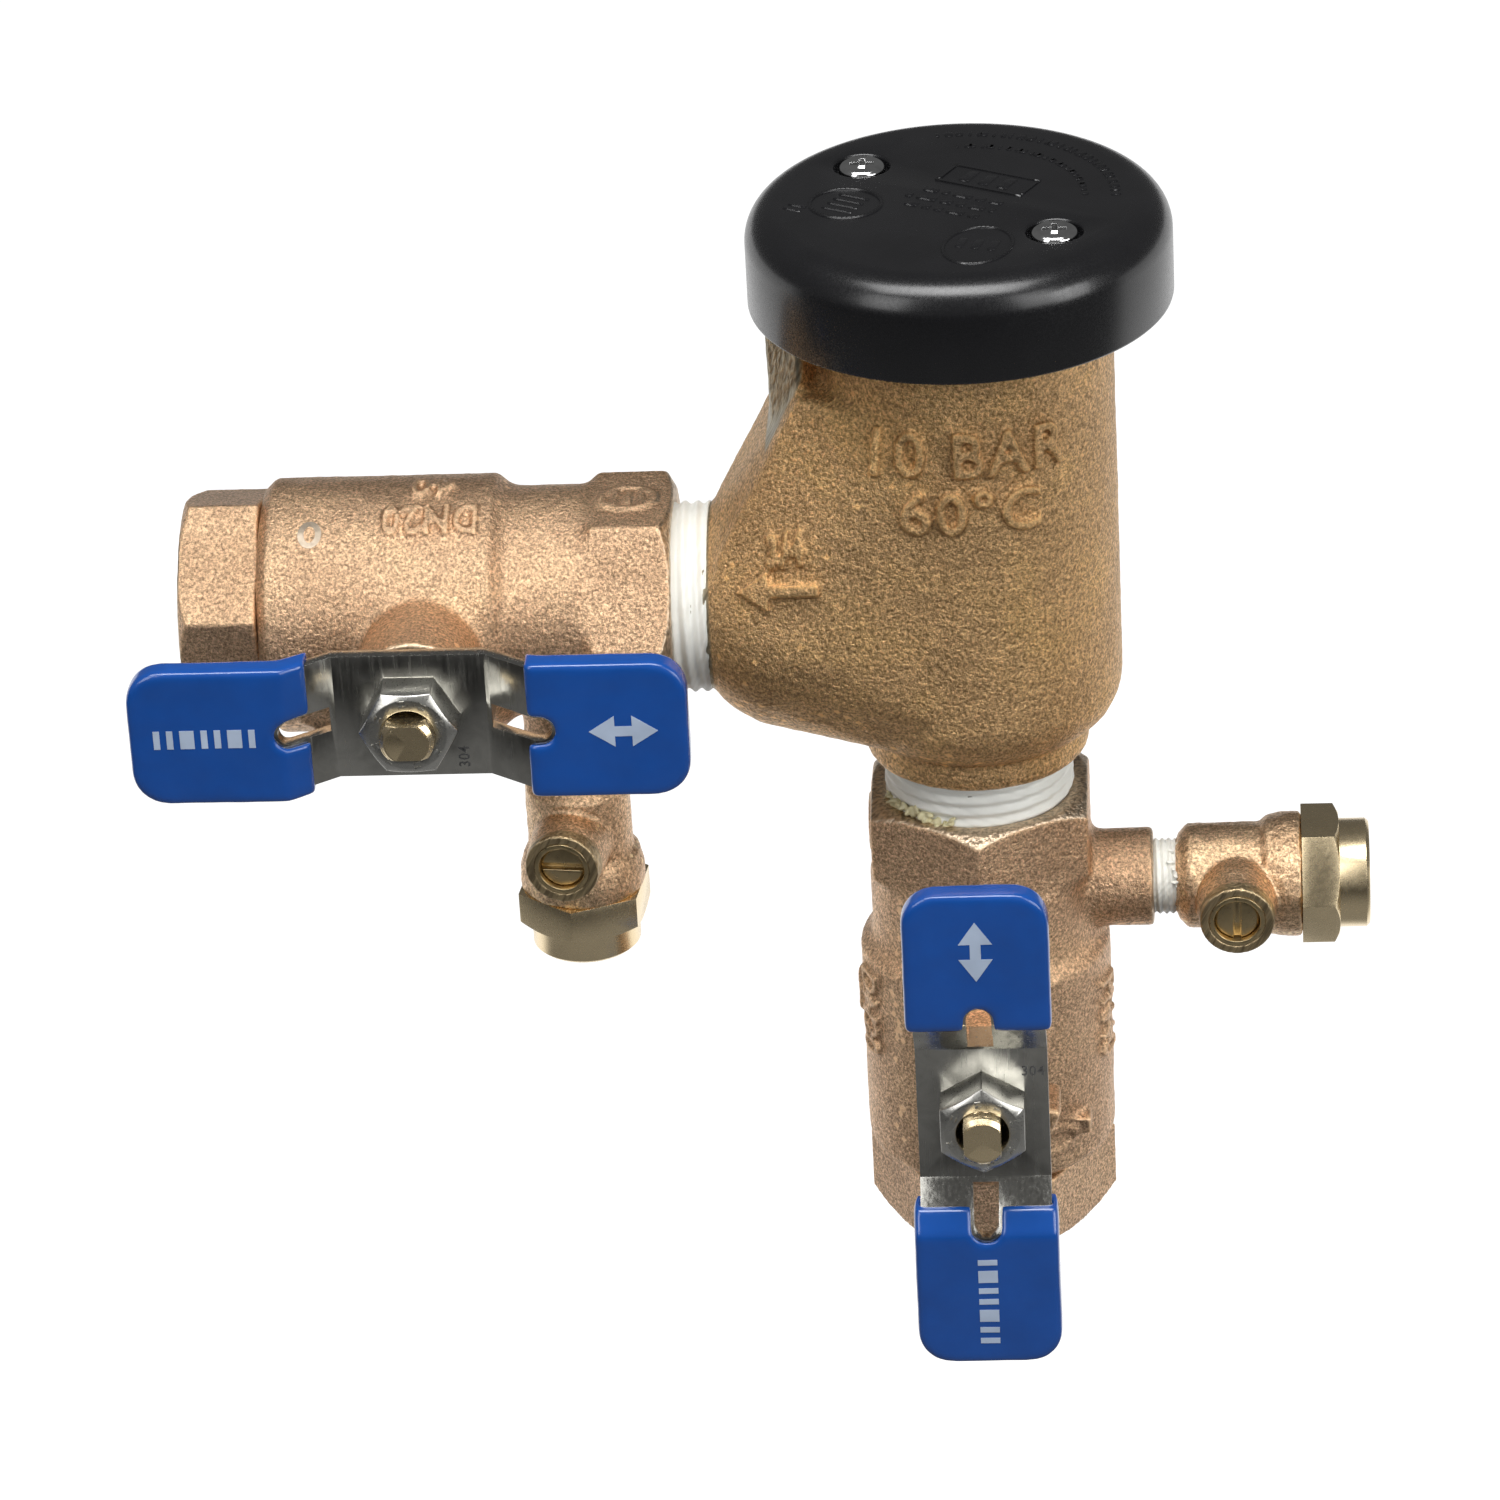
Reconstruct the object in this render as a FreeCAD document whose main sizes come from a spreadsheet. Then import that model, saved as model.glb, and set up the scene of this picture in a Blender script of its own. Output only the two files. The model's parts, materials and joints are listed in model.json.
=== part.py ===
import FreeCAD, Part
import math
import os
import re
from collections import namedtuple

import Sketcher

# A pressure vacuum breaker with its two tapped shutoff valves and two test cocks.
#
# The frame's origin is the centre of the inlet port's mouth, at the bottom of the inlet valve. +Z is up, along
# the riser, and the outlet runs towards -X. Water comes up through the inlet valve, lifts the check poppet, and
# leaves through the outlet valve. The valve stems and the handles are on the -Y side.

TINY = 1e-9

SIZES = {
    # 3/4-14 taper pipe thread: plain walls stand in for its turns
    "pipe_crest": 13.1,
    "pipe_pitch": 12.45,
    "pipe_root": 11.75,
    "pipe_bore": 9.5,
    "pipe_thread_depth": 14.5,
    "mouth_bevel": 1.3,
    "port_bevel": 1.0,
    "tape_thickness": 0.4,
    # 1/8-27 taper pipe thread of the test cocks
    "tap_crest": 5.05,
    "tap_pitch": 4.8,
    "tap_root": 4.35,
    "tap_bore": 2.4,
    "tap_thread_depth": 8.2,
    # where the assembly's pieces stand
    "outlet_axis": 100.87,
    "outlet_mouth": 111.79,
    "branch_face": 36.8,
    "neck_bottom": 76.2,
    # shutoff valve, from its free mouth
    "valve_length": 69.85,
    "valve_stem": 34.65,
    "valve_tap": 53.45,
    "valve_flats": 31.4,
    "valve_round": 18.2,
    "valve_neck": 16.4,
    "valve_neck_start": 46.4,
    "valve_hex_start": 57.1,
    "valve_round_edge": 1.6,
    "adapter_hex": 11.3,
    "adapter_thread": 15.3,
    "adapter_end": 25.95,
    "tap_boss": 7.1,
    "tap_boss_reach": 24.75,
    "stem_boss": 8.75,
    "stem_boss_reach": 29.8,
    # ball and seats
    "ball": 14.0,
    "ball_gap": 0.02,
    "cavity": 14.35,
    "seat_bore": 9.9,
    "seat_rim": 12.8,
    "seat_front": 8.4,
    "seat_back": 12.4,
    "tang_width": 4.4,
    "tang_half": 4.6,
    "tang_tip": 11.6,
    # stem, packing and gland, as distances from the ball's centre
    "stem_shaft": 4.0,
    "stem_clearance": 0.05,
    "collar": 5.6,
    "collar_start": 14.5,
    "collar_end": 16.2,
    "washer_end": 17.2,
    "packing_start": 20.0,
    "packing_end": 23.8,
    "gland_thread": 6.2,
    "gland_head": 7.1,
    "gland_end": 31.6,
    "stem_tip": 42.65,
    "stem_flats": 2.6,
    "stem_thread": 3.8,
    # handle
    "plate_back": 32.3,
    "plate_front": 34.3,
    "plate_width": 18.8,
    "bend_start": 10.6,
    "bend_end": 17.5,
    "arm_step": 4.8,
    "arm_length": 37.9,
    "arm_corner": 4.0,
    "slot_width": 3.7,
    "slot_start": 11.3,
    "slot_end": 16.3,
    "tab_start": 9.4,
    "tab_tip": 29.2,
    "grip_skin": 1.0,
    "grip_long_start": 13.8,
    "grip_short_start": 16.4,
    "nut_flats": 12.0,
    "nut_front": 40.1,
    # the valve body's stop for the handle's tabs, and the cast lug below it
    "stop_radius": 11.4,
    "stop_front": 30.4,
    "stop_back": 22.0,
    "lug_end": 14.9,
    "lug_front": 14.0,
    "lug_top": 20.9,
    "lug_bottom": 18.1,
    # test cock, as distances from the valve's axis
    "cock_start": 28.2,
    "cock_small": 7.6,
    "cock_middle": 8.5,
    "cock_large": 9.1,
    "cock_step": 40.6,
    "cock_flare": 43.6,
    "cock_hex_start": 46.2,
    "cock_hex_end": 51.6,
    "cock_flats": 17.46,
    "cock_stub": 7.9,
    "cock_end": 55.95,
    "cock_thread": 5.8,
    "cock_thread_start": 41.4,
    "cock_ball_centre": 36.7,
    "cock_ball": 4.4,
    "cock_cavity": 4.7,
    "cock_seat_bore": 2.6,
    "cock_seat_rim": 4.6,
    "cock_seat_front": 2.5,
    "cock_seat_back": 4.7,
    "cock_boss": 5.3,
    "cock_boss_face": 13.8,
    "cock_stem": 3.3,
    "cock_stem_start": 5.95,
    "cock_tang_width": 1.8,
    "cock_tang_half": 2.2,
    "cock_tang_tip": 3.6,
    "cock_stem_face": 13.0,
    "cock_ring_start": 11.4,
    "cock_slot_width": 1.1,
    "cock_slot_depth": 1.0,
    # body of the vacuum breaker
    "tube": 21.1,
    "tube_top": 146.0,
    "tube_bottom": 80.6,
    "tube_round": 8.0,
    "neck": 16.1,
    "neck_round": 2.0,
    "branch_neck": 14.5,
    "branch_middle": 18.2,
    "branch_root": 20.2,
    "web_half": 12.8,
    "web_foot": 35.4,
    "web_foot_height": 112.6,
    "web_shelf": 22.8,
    "web_shelf_height": 137.6,
    "pad_reach": 27.2,
    "pad_half": 10.4,
    "pad_cut": 5.0,
    "pad_root": 19.2,
    "chamber_floor": 86.0,
    "chamber": 16.2,
    "seat_ring": 12.0,
    "seat_top": 90.0,
    "guide_ledge": 113.5,
    "upper_bore": 17.0,
    "bonnet_thread": 17.6,
    "bonnet_bottom": 132.9,
    # check poppet, its disc and its guide
    "disc_rim": 12.2,
    "disc_thickness": 2.2,
    "poppet_plate": 2.0,
    "poppet_rim": 12.4,
    "retainer_rim": 8.6,
    "retainer_thickness": 1.6,
    "retainer_shank": 2.4,
    "sleeve": 4.4,
    "sleeve_top": 108.0,
    "sleeve_floor": 96.4,
    "pin": 2.8,
    "pin_gap": 0.05,
    "pin_end": 102.4,
    "guide_top": 117.0,
    "guide_hub": 7.4,
    "guide_rim": 16.9,
    "guide_rim_inside": 14.4,
    "arm_width": 3.0,
    "leg_width": 6.0,
    "check_coil": 6.2,
    "check_wire": 0.4,
    # air inlet poppet, its disc and the bonnet
    "float_bottom": 117.2,
    "float": 10.0,
    "float_flange": 12.6,
    "float_flange_bottom": 122.0,
    "float_top": 124.3,
    "air_disc_top": 126.3,
    "air_disc_bore": 5.6,
    "air_disc_rim": 12.4,
    "air_stem": 2.5,
    "air_stem_top": 145.0,
    "air_bore": 10.5,
    "air_seat_plate": 3.0,
    "hub": 4.6,
    "hub_bottom": 139.0,
    "spoke_bottom": 141.5,
    "ring_inside": 14.0,
    "flange": 20.4,
    "flange_top": 149.2,
    "flange_bottom": 146.2,
    "post": 3.9,
    "post_top": 155.5,
    "post_circle": 18.0,
    "screw_pilot": 1.45,
    "screw_pilot_depth": 8.2,
    "air_coil": 3.6,
    "air_wire": 0.3,
    # canopy and its screws
    "canopy": 29.7,
    "canopy_rim": 147.3,
    "canopy_top": 161.9,
    "canopy_wall": 2.2,
    "canopy_round": 5.2,
    "canopy_hole": 1.9,
    "head_recess": 3.9,
    "head_recess_depth": 1.6,
    "screw_head": 3.3,
    "screw_head_height": 1.9,
    "screw_shank": 1.45,
    "screw_length": 12.4,
    "drive_width": 0.9,
    "drive_reach": 1.7,
    "drive_depth": 1.1,
}

POST_ANGLE = 139.0
OUTLET_COCK_TURN = -7.0
SPRING_TURNS_CHECK = 5
SPRING_TURNS_AIR = 6
WIRE_SIDES = 10

# A frame is where a group of pieces is drawn: three expressions for its origin, and its turn.
Frame = namedtuple("Frame", "x y z rotation")
UPRIGHT = FreeCAD.Rotation()
ALONG_X = FreeCAD.Rotation(FreeCAD.Vector(0, 1, 0), 90)
DOWNWARD = FreeCAD.Rotation(FreeCAD.Vector(0, 1, 0), 180)
TOWARDS_FRONT = FreeCAD.Rotation(FreeCAD.Vector(1, 0, 0), 90)
ABOUT_Z = FreeCAD.Vector(0, 0, 1)

BASE = Frame("0", "0", "0", UPRIGHT)


# ---------------------------------------------------------------- sheet, placement and sketch helpers


def make_sheet(doc):
    """Write every driving size to the sheet, each with its name as the cell's alias."""
    sheet = doc.addObject("Spreadsheet::Sheet", "Sizes")
    for row, (alias, number) in enumerate(SIZES.items(), start=1):
        sheet.set(f"A{row}", alias)
        sheet.set(f"B{row}", str(number))
        sheet.setAlias(f"B{row}", alias)
    doc.recompute()
    return sheet


def expression(text):
    """The text with each size's name written as a reference to its cell."""
    return re.sub(
        r"[a-z_]+",
        lambda word: "Sizes." + word.group() if word.group() in SIZES else word.group(),
        str(text),
    )


def value(item, text):
    """What an expression comes to, in millimetres."""
    return float(item.evalExpression(expression(text)))


def bind(item, path, text):
    item.setExpression(path, expression(text))


def place(item, frame):
    item.Placement = FreeCAD.Placement(FreeCAD.Vector(), frame.rotation)
    for axis, text in zip("xyz", (frame.x, frame.y, frame.z)):
        bind(item, f"Placement.Base.{axis}", text)


def new_body(doc, label, frame):
    body = doc.addObject("PartDesign::Body", label)
    body.Label = label
    place(body, frame)
    return body


def new_sketch(body, role, offset):
    """A sketch on one of the body's own origin planes, moved by three expressions in the plane's axes."""
    sketch = body.newObject("Sketcher::SketchObject", body.Label + "_sketch")
    plane = next(item for item in body.Origin.OriginFeatures if item.Role == role)
    sketch.AttachmentSupport = [(plane, "")]
    sketch.MapMode = "FlatFace"
    for axis, text in zip("xyz", offset):
        bind(sketch, f"AttachmentOffset.Base.{axis}", text)
    return sketch


def fix_point(sketch, geometry, end, texts, point):
    """Hold a point at two expressions: on an axis where its distance is nothing, else by dimensions."""
    rows = (("DistanceX", texts[0], point.x, -2), ("DistanceY", texts[1], point.y, -1))
    for kind, text, distance, axis in rows:
        if abs(distance) < TINY:
            sketch.addConstraint(Sketcher.Constraint("PointOnObject", geometry, end, axis))
            continue
        number = sketch.addConstraint(Sketcher.Constraint(kind, -1, 1, geometry, end, distance))
        bind(sketch, f"Constraints[{number}]", text)


def draw_outline(sketch, corners):
    """A closed outline of straight lines through corners given as pairs of expressions."""
    points = [FreeCAD.Vector(value(sketch, across), value(sketch, up), 0) for across, up in corners]
    first = sketch.GeometryCount
    for start, end in zip(points, points[1:] + points[:1]):
        sketch.addGeometry(Part.LineSegment(start, end), False)
    for index, (corner, point) in enumerate(zip(corners, points)):
        line = first + index
        following = first + (index + 1) % len(corners)
        sketch.addConstraint(Sketcher.Constraint("Coincident", line, 2, following, 1))
        fix_point(sketch, line, 1, corner, point)


def draw_circle(sketch, centre, radius):
    point = FreeCAD.Vector(value(sketch, centre[0]), value(sketch, centre[1]), 0)
    size = value(sketch, radius)
    circle = sketch.addGeometry(Part.Circle(point, ABOUT_Z, size), False)
    fix_point(sketch, circle, 3, centre, point)
    number = sketch.addConstraint(Sketcher.Constraint("Radius", circle, size))
    bind(sketch, f"Constraints[{number}]", radius)


def box(low_x, low_y, high_x, high_y):
    """The corners of a rectangle, as expressions."""
    return [(low_x, low_y), (high_x, low_y), (high_x, high_y), (low_x, high_y)]


def hexagon(flats, turn=0.0, centre=("0", "0")):
    """The corners of a hexagon across its flats; one corner points along the turn from the sketch's x."""
    corners = []
    for step in range(6):
        angle = math.radians(turn + 60 * step)
        across = math.cos(angle) / math.cos(math.radians(30)) / 2
        up = math.sin(angle) / math.cos(math.radians(30)) / 2
        corners.append((f"{centre[0]} + ({flats}) * {across:.9f}", f"{centre[1]} + ({flats}) * {up:.9f}"))
    return corners


# ---------------------------------------------------------------- feature helpers


def turn_outline(body, corners, kind="Revolution", role="XZ_Plane", axis="V_Axis", offset=("0", "0", "0")):
    """Revolve an outline about an axis of its sketch: a Revolution adds it, and a Groove takes it away."""
    sketch = new_sketch(body, role, offset)
    draw_outline(sketch, corners)
    feature = body.newObject("PartDesign::" + kind, body.Label + "_" + kind.lower())
    feature.Profile = sketch
    feature.ReferenceAxis = (sketch, [axis])
    feature.Angle = 360
    sketch.Visibility = False
    return feature


def raise_sketch(body, sketch, start, length, kind):
    """Pad a sketch from start to start + length along its normal, or cut the same stretch away."""
    feature = body.newObject("PartDesign::" + kind, body.Label + "_" + kind.lower())
    feature.Profile = sketch
    bind(feature, "Length", length)
    raised = start if kind == "Pad" else f"{start} + ({length})"
    bind(sketch, "AttachmentOffset.Base.z", raised)
    sketch.Visibility = False
    return feature


def raise_outline(body, corners, start, length, kind="Pad", role="XY_Plane"):
    sketch = new_sketch(body, role, ("0", "0", "0"))
    draw_outline(sketch, corners)
    return raise_sketch(body, sketch, start, length, kind)


def raise_circles(body, circles, start, length, kind="Pad", role="XY_Plane"):
    """Circles are triples of expressions: across, up and radius."""
    sketch = new_sketch(body, role, ("0", "0", "0"))
    for across, up, radius in circles:
        draw_circle(sketch, (across, up), radius)
    return raise_sketch(body, sketch, start, length, kind)


def dress_edges(body, kind, size, chosen):
    """Fillet or chamfer the body's edges that a test chooses."""
    body.Document.recompute()
    base = body.Tip
    names = [f"Edge{number}" for number, edge in enumerate(base.Shape.Edges, start=1) if chosen(edge)]
    feature = body.newObject("PartDesign::" + kind, body.Label + "_" + kind.lower())
    feature.Base = (base, names)
    bind(feature, "Radius" if kind == "Fillet" else "Size", size)
    return feature


def circle_at(height, radius):
    """A test for a level circle about the body's own Z axis."""

    def chosen(edge):
        curve = edge.Curve
        return (
            curve.TypeId == "Part::GeomCircle"
            and abs(curve.Center.z - height) < 0.01
            and abs(curve.Radius - radius) < 0.01
        )

    return chosen


def line_along(axis, reach):
    """A test for straight edges along an axis whose middle passes a second test."""

    def chosen(edge):
        if edge.Curve.TypeId != "Part::GeomLine":
            return False
        direction = edge.tangentAt(edge.FirstParameter)
        return abs(abs(direction.dot(axis)) - 1) < 0.001 and reach(edge.CenterOfMass)

    return chosen


def bevel_hexagon(body, flats, end, inward):
    """Turn the corners off a hexagon's end at 30 degrees; inward is the way into the hexagon along Z."""
    beyond = f"({flats}) * 0.6 + 1"
    depth = f"(({flats}) * 0.1 + 1) * {inward * math.tan(math.radians(30)):.9f}"
    corners = [(f"({flats}) / 2", end), (beyond, end), (beyond, f"{end} + {depth}")]
    return turn_outline(body, corners, kind="Groove")


def make_ball(doc, label, frame, radius, bore, slot):
    """A ball with a through bore along Z and a slot for the stem's tang on its -Y side."""
    ball = doc.addObject("Part::Sphere", label + "_sphere")
    bind(ball, "Radius", radius)
    drill = doc.addObject("Part::Cylinder", label + "_drill")
    bind(drill, "Radius", bore)
    bind(drill, "Height", f"4 * {radius}")
    bind(drill, "Placement.Base.z", f"-2 * {radius}")
    mill = doc.addObject("Part::Box", label + "_slot")
    bind(mill, "Length", f"4 * {radius}")
    bind(mill, "Width", radius)
    bind(mill, "Height", slot["width"])
    bind(mill, "Placement.Base.x", f"-2 * {radius}")
    bind(mill, "Placement.Base.y", f"0 - {radius} - ({slot['bottom']})")
    bind(mill, "Placement.Base.z", f"-0.5 * ({slot['width']})")
    tools = doc.addObject("Part::MultiFuse", label + "_tools")
    tools.Shapes = [drill, mill]
    cut = doc.addObject("Part::Cut", label)
    cut.Label = label
    cut.Base = ball
    cut.Tool = tools
    place(cut, frame)
    return cut


def make_seats(doc, label, frame, sizes):
    """Two seat rings, one on each side of the ball, cut to the ball's radius."""
    body = new_body(doc, label, frame)
    for side in ("-1", "1"):
        front = f"{side} * ({sizes['front']})"
        back = f"{side} * ({sizes['back']})"
        turn_outline(body, box(sizes["bore"], front, sizes["rim"], back))
    ball = doc.addObject("Part::Sphere", label + "_ball")
    bind(ball, "Radius", f"{sizes['ball']} + ball_gap")
    place(ball, frame)
    seats = doc.addObject("Part::Cut", label)
    body.Label = label + "_rings"
    seats.Label = label
    seats.Base = body
    seats.Tool = ball
    return seats


def make_spring(doc, label, start, length, coil, wire, turns):
    """A compression spring about the frame's Z axis, touching both of its end planes."""
    path = doc.addObject("Part::Helix", label + "_path")
    path.SegmentLength = 0
    bind(path, "Radius", coil)
    bind(path, "Height", f"{length} - 2 * {wire}")
    bind(path, "Pitch", f"({length} - 2 * {wire}) / {turns}")
    bind(path, "Placement.Base.z", f"{start} + {wire}")
    section = doc.addObject("Part::RegularPolygon", label + "_section")
    section.Polygon = WIRE_SIDES
    section.Placement = FreeCAD.Placement(FreeCAD.Vector(), TOWARDS_FRONT)
    bind(section, "Circumradius", wire)
    bind(section, "Placement.Base.x", coil)
    bind(section, "Placement.Base.z", f"{start} + {wire}")
    doc.recompute()
    spring = doc.addObject("Part::Sweep", label)
    spring.Label = label
    spring.Sections = [section]
    spring.Spine = (path, ["Edge1"])
    spring.Solid = True
    spring.Frenet = True
    return spring


def make_ring(doc, label, frame, middle, thickness, height):
    """An O-ring about the frame's Z axis."""
    ring = doc.addObject("Part::Torus", label)
    ring.Label = label
    bind(ring, "Radius1", middle)
    bind(ring, "Radius2", thickness)
    place(ring, frame)
    lifted = frame.rotation.multVec(ABOUT_Z)
    for axis, text, share in zip("xyz", (frame.x, frame.y, frame.z), lifted):
        bind(ring, f"Placement.Base.{axis}", f"{text} + ({height}) * {share:.9f}")
    return ring


# ---------------------------------------------------------------- the vacuum breaker's own pieces


def make_pvb_body(doc):
    """The cast body: tube, neck, branch and web outside, and the chamber and its seat inside."""
    body = new_body(doc, "pvb_body", BASE)
    add_tube(body)
    add_branch(body)
    add_web(body)
    add_male_threads(body)
    cut_chamber(body)
    return body


def add_tube(body):
    turn_outline(body, box("0", "tube_bottom", "tube", "tube_top"))
    dress_edges(body, "Fillet", "tube_round", circle_at(SIZES["tube_bottom"], SIZES["tube"]))
    turn_outline(body, box("0", "neck_bottom", "neck", "tube_bottom + 3"))
    dress_edges(body, "Fillet", "neck_round", circle_at(SIZES["neck_bottom"], SIZES["neck"]))


def add_branch(body):
    """The outlet branch, turned about a level axis: it flares quickly from its face and then slowly."""
    corners = [
        ("-1 * branch_face", "0"),
        ("-1 * branch_face", "branch_neck - 1"),
        ("1 - branch_face", "branch_neck"),
        ("3 - branch_face", "branch_neck + 1.6"),
        ("6 - branch_face", "branch_middle"),
        ("11 - branch_face", "branch_root - 0.8"),
        ("20 - branch_face", "branch_root"),
        ("0", "branch_root"),
        ("0", "0"),
    ]
    turn_outline(body, corners, axis="H_Axis", offset=("0", "outlet_axis", "0"))


def add_web(body):
    """The web above the branch, with a sloped back, a shelf, and the ground pad where its gate was cut off."""
    outline = [
        ("-1 * web_foot", "outlet_axis"),
        ("-1 * web_foot", "web_foot_height"),
        ("-1 * web_shelf", "web_shelf_height"),
        ("0 - tube / 2", "web_shelf_height"),
        ("0 - tube / 2", "outlet_axis"),
    ]
    raise_outline(body, outline, "-1 * web_half", "2 * web_half", role="XZ_Plane")
    pad = [
        ("-1 * pad_reach", "pad_half"),
        ("-1 * pad_reach", "pad_cut - pad_half"),
        ("-1 * web_shelf", "-1 * pad_half"),
        ("-1 * web_shelf + 0.9", "-1 * pad_half + 0.3"),
        ("-1 * pad_root", "-0.5 * pad_half"),
        ("-1 * pad_root", "0.5 * pad_half"),
        ("-1 * web_shelf + 0.9", "pad_half"),
    ]
    raise_outline(body, pad, "web_foot_height + 6", "tube_top - web_foot_height - 6")


def add_male_threads(body):
    """The two threads that screw into the shutoff valves."""
    reach = "valve_length - pipe_thread_depth + 0.5"
    turn_outline(body, box("0", reach, "pipe_pitch", "neck_bottom + 1"))
    turn_outline(body, box("0", "valve_length", "pipe_crest", "neck_bottom + 1"))
    mouth = "valve_length - outlet_mouth"
    offset = ("0", "outlet_axis", "0")
    inner = box(f"{mouth} - pipe_thread_depth + 0.5", "0", "1 - branch_face", "pipe_pitch")
    outer = box(mouth, "0", "1 - branch_face", "pipe_crest")
    for corners in (inner, outer):
        turn_outline(body, corners, axis="H_Axis", offset=offset)


def cut_chamber(body):
    """The waterway: inlet bore, seat ring, chamber, guide ledge, bonnet thread, and the outlet bore."""
    bottom = "valve_length - pipe_thread_depth"
    outline = [
        ("0", bottom),
        ("pipe_bore", bottom),
        ("pipe_bore", "seat_top"),
        ("seat_ring", "seat_top"),
        ("seat_ring", "chamber_floor"),
        ("chamber", "chamber_floor"),
        ("chamber", "guide_ledge"),
        ("upper_bore", "guide_ledge"),
        ("upper_bore", "bonnet_bottom"),
        ("bonnet_thread", "bonnet_bottom"),
        ("bonnet_thread", "tube_top + 1"),
        ("0", "tube_top + 1"),
    ]
    turn_outline(body, outline, kind="Groove")
    far = "valve_length - outlet_mouth - pipe_thread_depth"
    bore = box(far, "0", "-0.5 * chamber", "pipe_bore")
    turn_outline(body, bore, kind="Groove", axis="H_Axis", offset=("0", "outlet_axis", "0"))


def make_check(doc):
    """The check poppet, its rubber disc and retainer, and the spring that closes it."""
    plate_top = "seat_top + disc_thickness + poppet_plate"
    plate_bottom = "seat_top + disc_thickness"
    poppet = new_body(doc, "check_poppet", BASE)
    outline = [
        ("retainer_shank", plate_bottom),
        ("poppet_rim", plate_bottom),
        ("poppet_rim", plate_top),
        ("sleeve", plate_top),
        ("sleeve", "sleeve_top"),
        ("pin + pin_gap", "sleeve_top"),
        ("pin + pin_gap", "sleeve_floor"),
        ("0", "sleeve_floor"),
        ("0", plate_top),
        ("retainer_shank", plate_top),
    ]
    turn_outline(poppet, outline)
    disc = new_body(doc, "check_disc", BASE)
    turn_outline(disc, box("retainer_shank", "seat_top", "disc_rim", plate_bottom))
    retainer = new_body(doc, "check_disc_retainer", BASE)
    turn_outline(
        retainer,
        [
            ("0", "seat_top - retainer_thickness"),
            ("retainer_rim - 0.8", "seat_top - retainer_thickness"),
            ("retainer_rim", "seat_top - retainer_thickness + 0.8"),
            ("retainer_rim", "seat_top"),
            ("retainer_shank", "seat_top"),
            ("retainer_shank", plate_top),
            ("0", plate_top),
        ],
    )
    length = f"guide_ledge + 0.1 - ({plate_top})"
    spring = make_spring(doc, "check_spring", plate_top, length, "check_coil", "check_wire", SPRING_TURNS_CHECK)
    return [poppet, disc, retainer, spring]


def arms(body, inner, outer, width, start, length, count=3, turn=90.0):
    """Straight arms spread evenly about the Z axis, from one radius to another."""
    for step in range(count):
        angle = math.radians(turn + 360 / count * step)
        along = (math.cos(angle), math.sin(angle))
        corners = []
        for radius, side in ((inner, -0.5), (outer, -0.5), (outer, 0.5), (inner, 0.5)):
            across = f"({radius}) * {along[0]:.9f} - {width} * {side * along[1]:.9f}"
            up = f"({radius}) * {along[1]:.9f} + {width} * {side * along[0]:.9f}"
            corners.append((across, up))
        raise_outline(body, corners, start, length)


def make_poppet_guide(doc):
    """The guide: a rim on the chamber's ledge, a pin for the check poppet, and legs up to the bonnet."""
    guide = new_body(doc, "poppet_guide", BASE)
    bottom = "guide_ledge + 0.1"
    outline = [
        ("0", "pin_end"),
        ("pin", "pin_end"),
        ("pin", bottom),
        ("guide_hub", bottom),
        ("guide_hub", "guide_top"),
        ("0", "guide_top"),
    ]
    turn_outline(guide, outline)
    turn_outline(guide, box("guide_rim_inside", bottom, "guide_rim", "guide_top"))
    arms(guide, "guide_hub - 1", "guide_rim_inside + 0.5", "arm_width", bottom, "guide_top - guide_ledge - 0.1")
    arms(
        guide,
        "guide_rim_inside",
        "guide_rim - 0.4",
        "leg_width",
        "guide_top",
        "bonnet_bottom - guide_top - 0.05",
    )
    return guide


def make_air_inlet(doc):
    """The air inlet poppet that floats up to close the bonnet, its rubber disc, and its opening spring."""
    poppet = new_body(doc, "air_inlet_poppet", BASE)
    outline = [
        ("0", "float_bottom + 1.6"),
        ("float - 1.6", "float_bottom + 1.6"),
        ("float - 1.6", "float_bottom"),
        ("float", "float_bottom"),
        ("float", "float_flange_bottom"),
        ("float_flange", "float_flange_bottom"),
        ("float_flange", "float_top"),
        ("air_disc_bore", "float_top"),
        ("air_disc_bore", "air_disc_top"),
        ("air_stem", "air_disc_top"),
        ("air_stem", "air_stem_top - 0.6"),
        ("air_stem - 0.6", "air_stem_top"),
        ("0", "air_stem_top"),
    ]
    turn_outline(poppet, outline)
    raise_circles(poppet, [("0", "0", "2")], "float_bottom", "1.7")
    disc = new_body(doc, "air_inlet_disc", BASE)
    turn_outline(disc, box("air_disc_bore", "float_top", "air_disc_rim", "air_disc_top"))
    length = "hub_bottom - air_disc_top"
    spring = make_spring(doc, "air_inlet_spring", "air_disc_top", length, "air_coil", "air_wire", SPRING_TURNS_AIR)
    return [poppet, disc, spring]


def post_centres():
    """The two screw posts' centres, as pairs of expressions."""
    centres = []
    for angle in (POST_ANGLE, POST_ANGLE - 180):
        across = math.cos(math.radians(angle))
        up = math.sin(math.radians(angle))
        centres.append((f"post_circle * {across:.9f}", f"post_circle * {up:.9f}"))
    return centres


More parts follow.
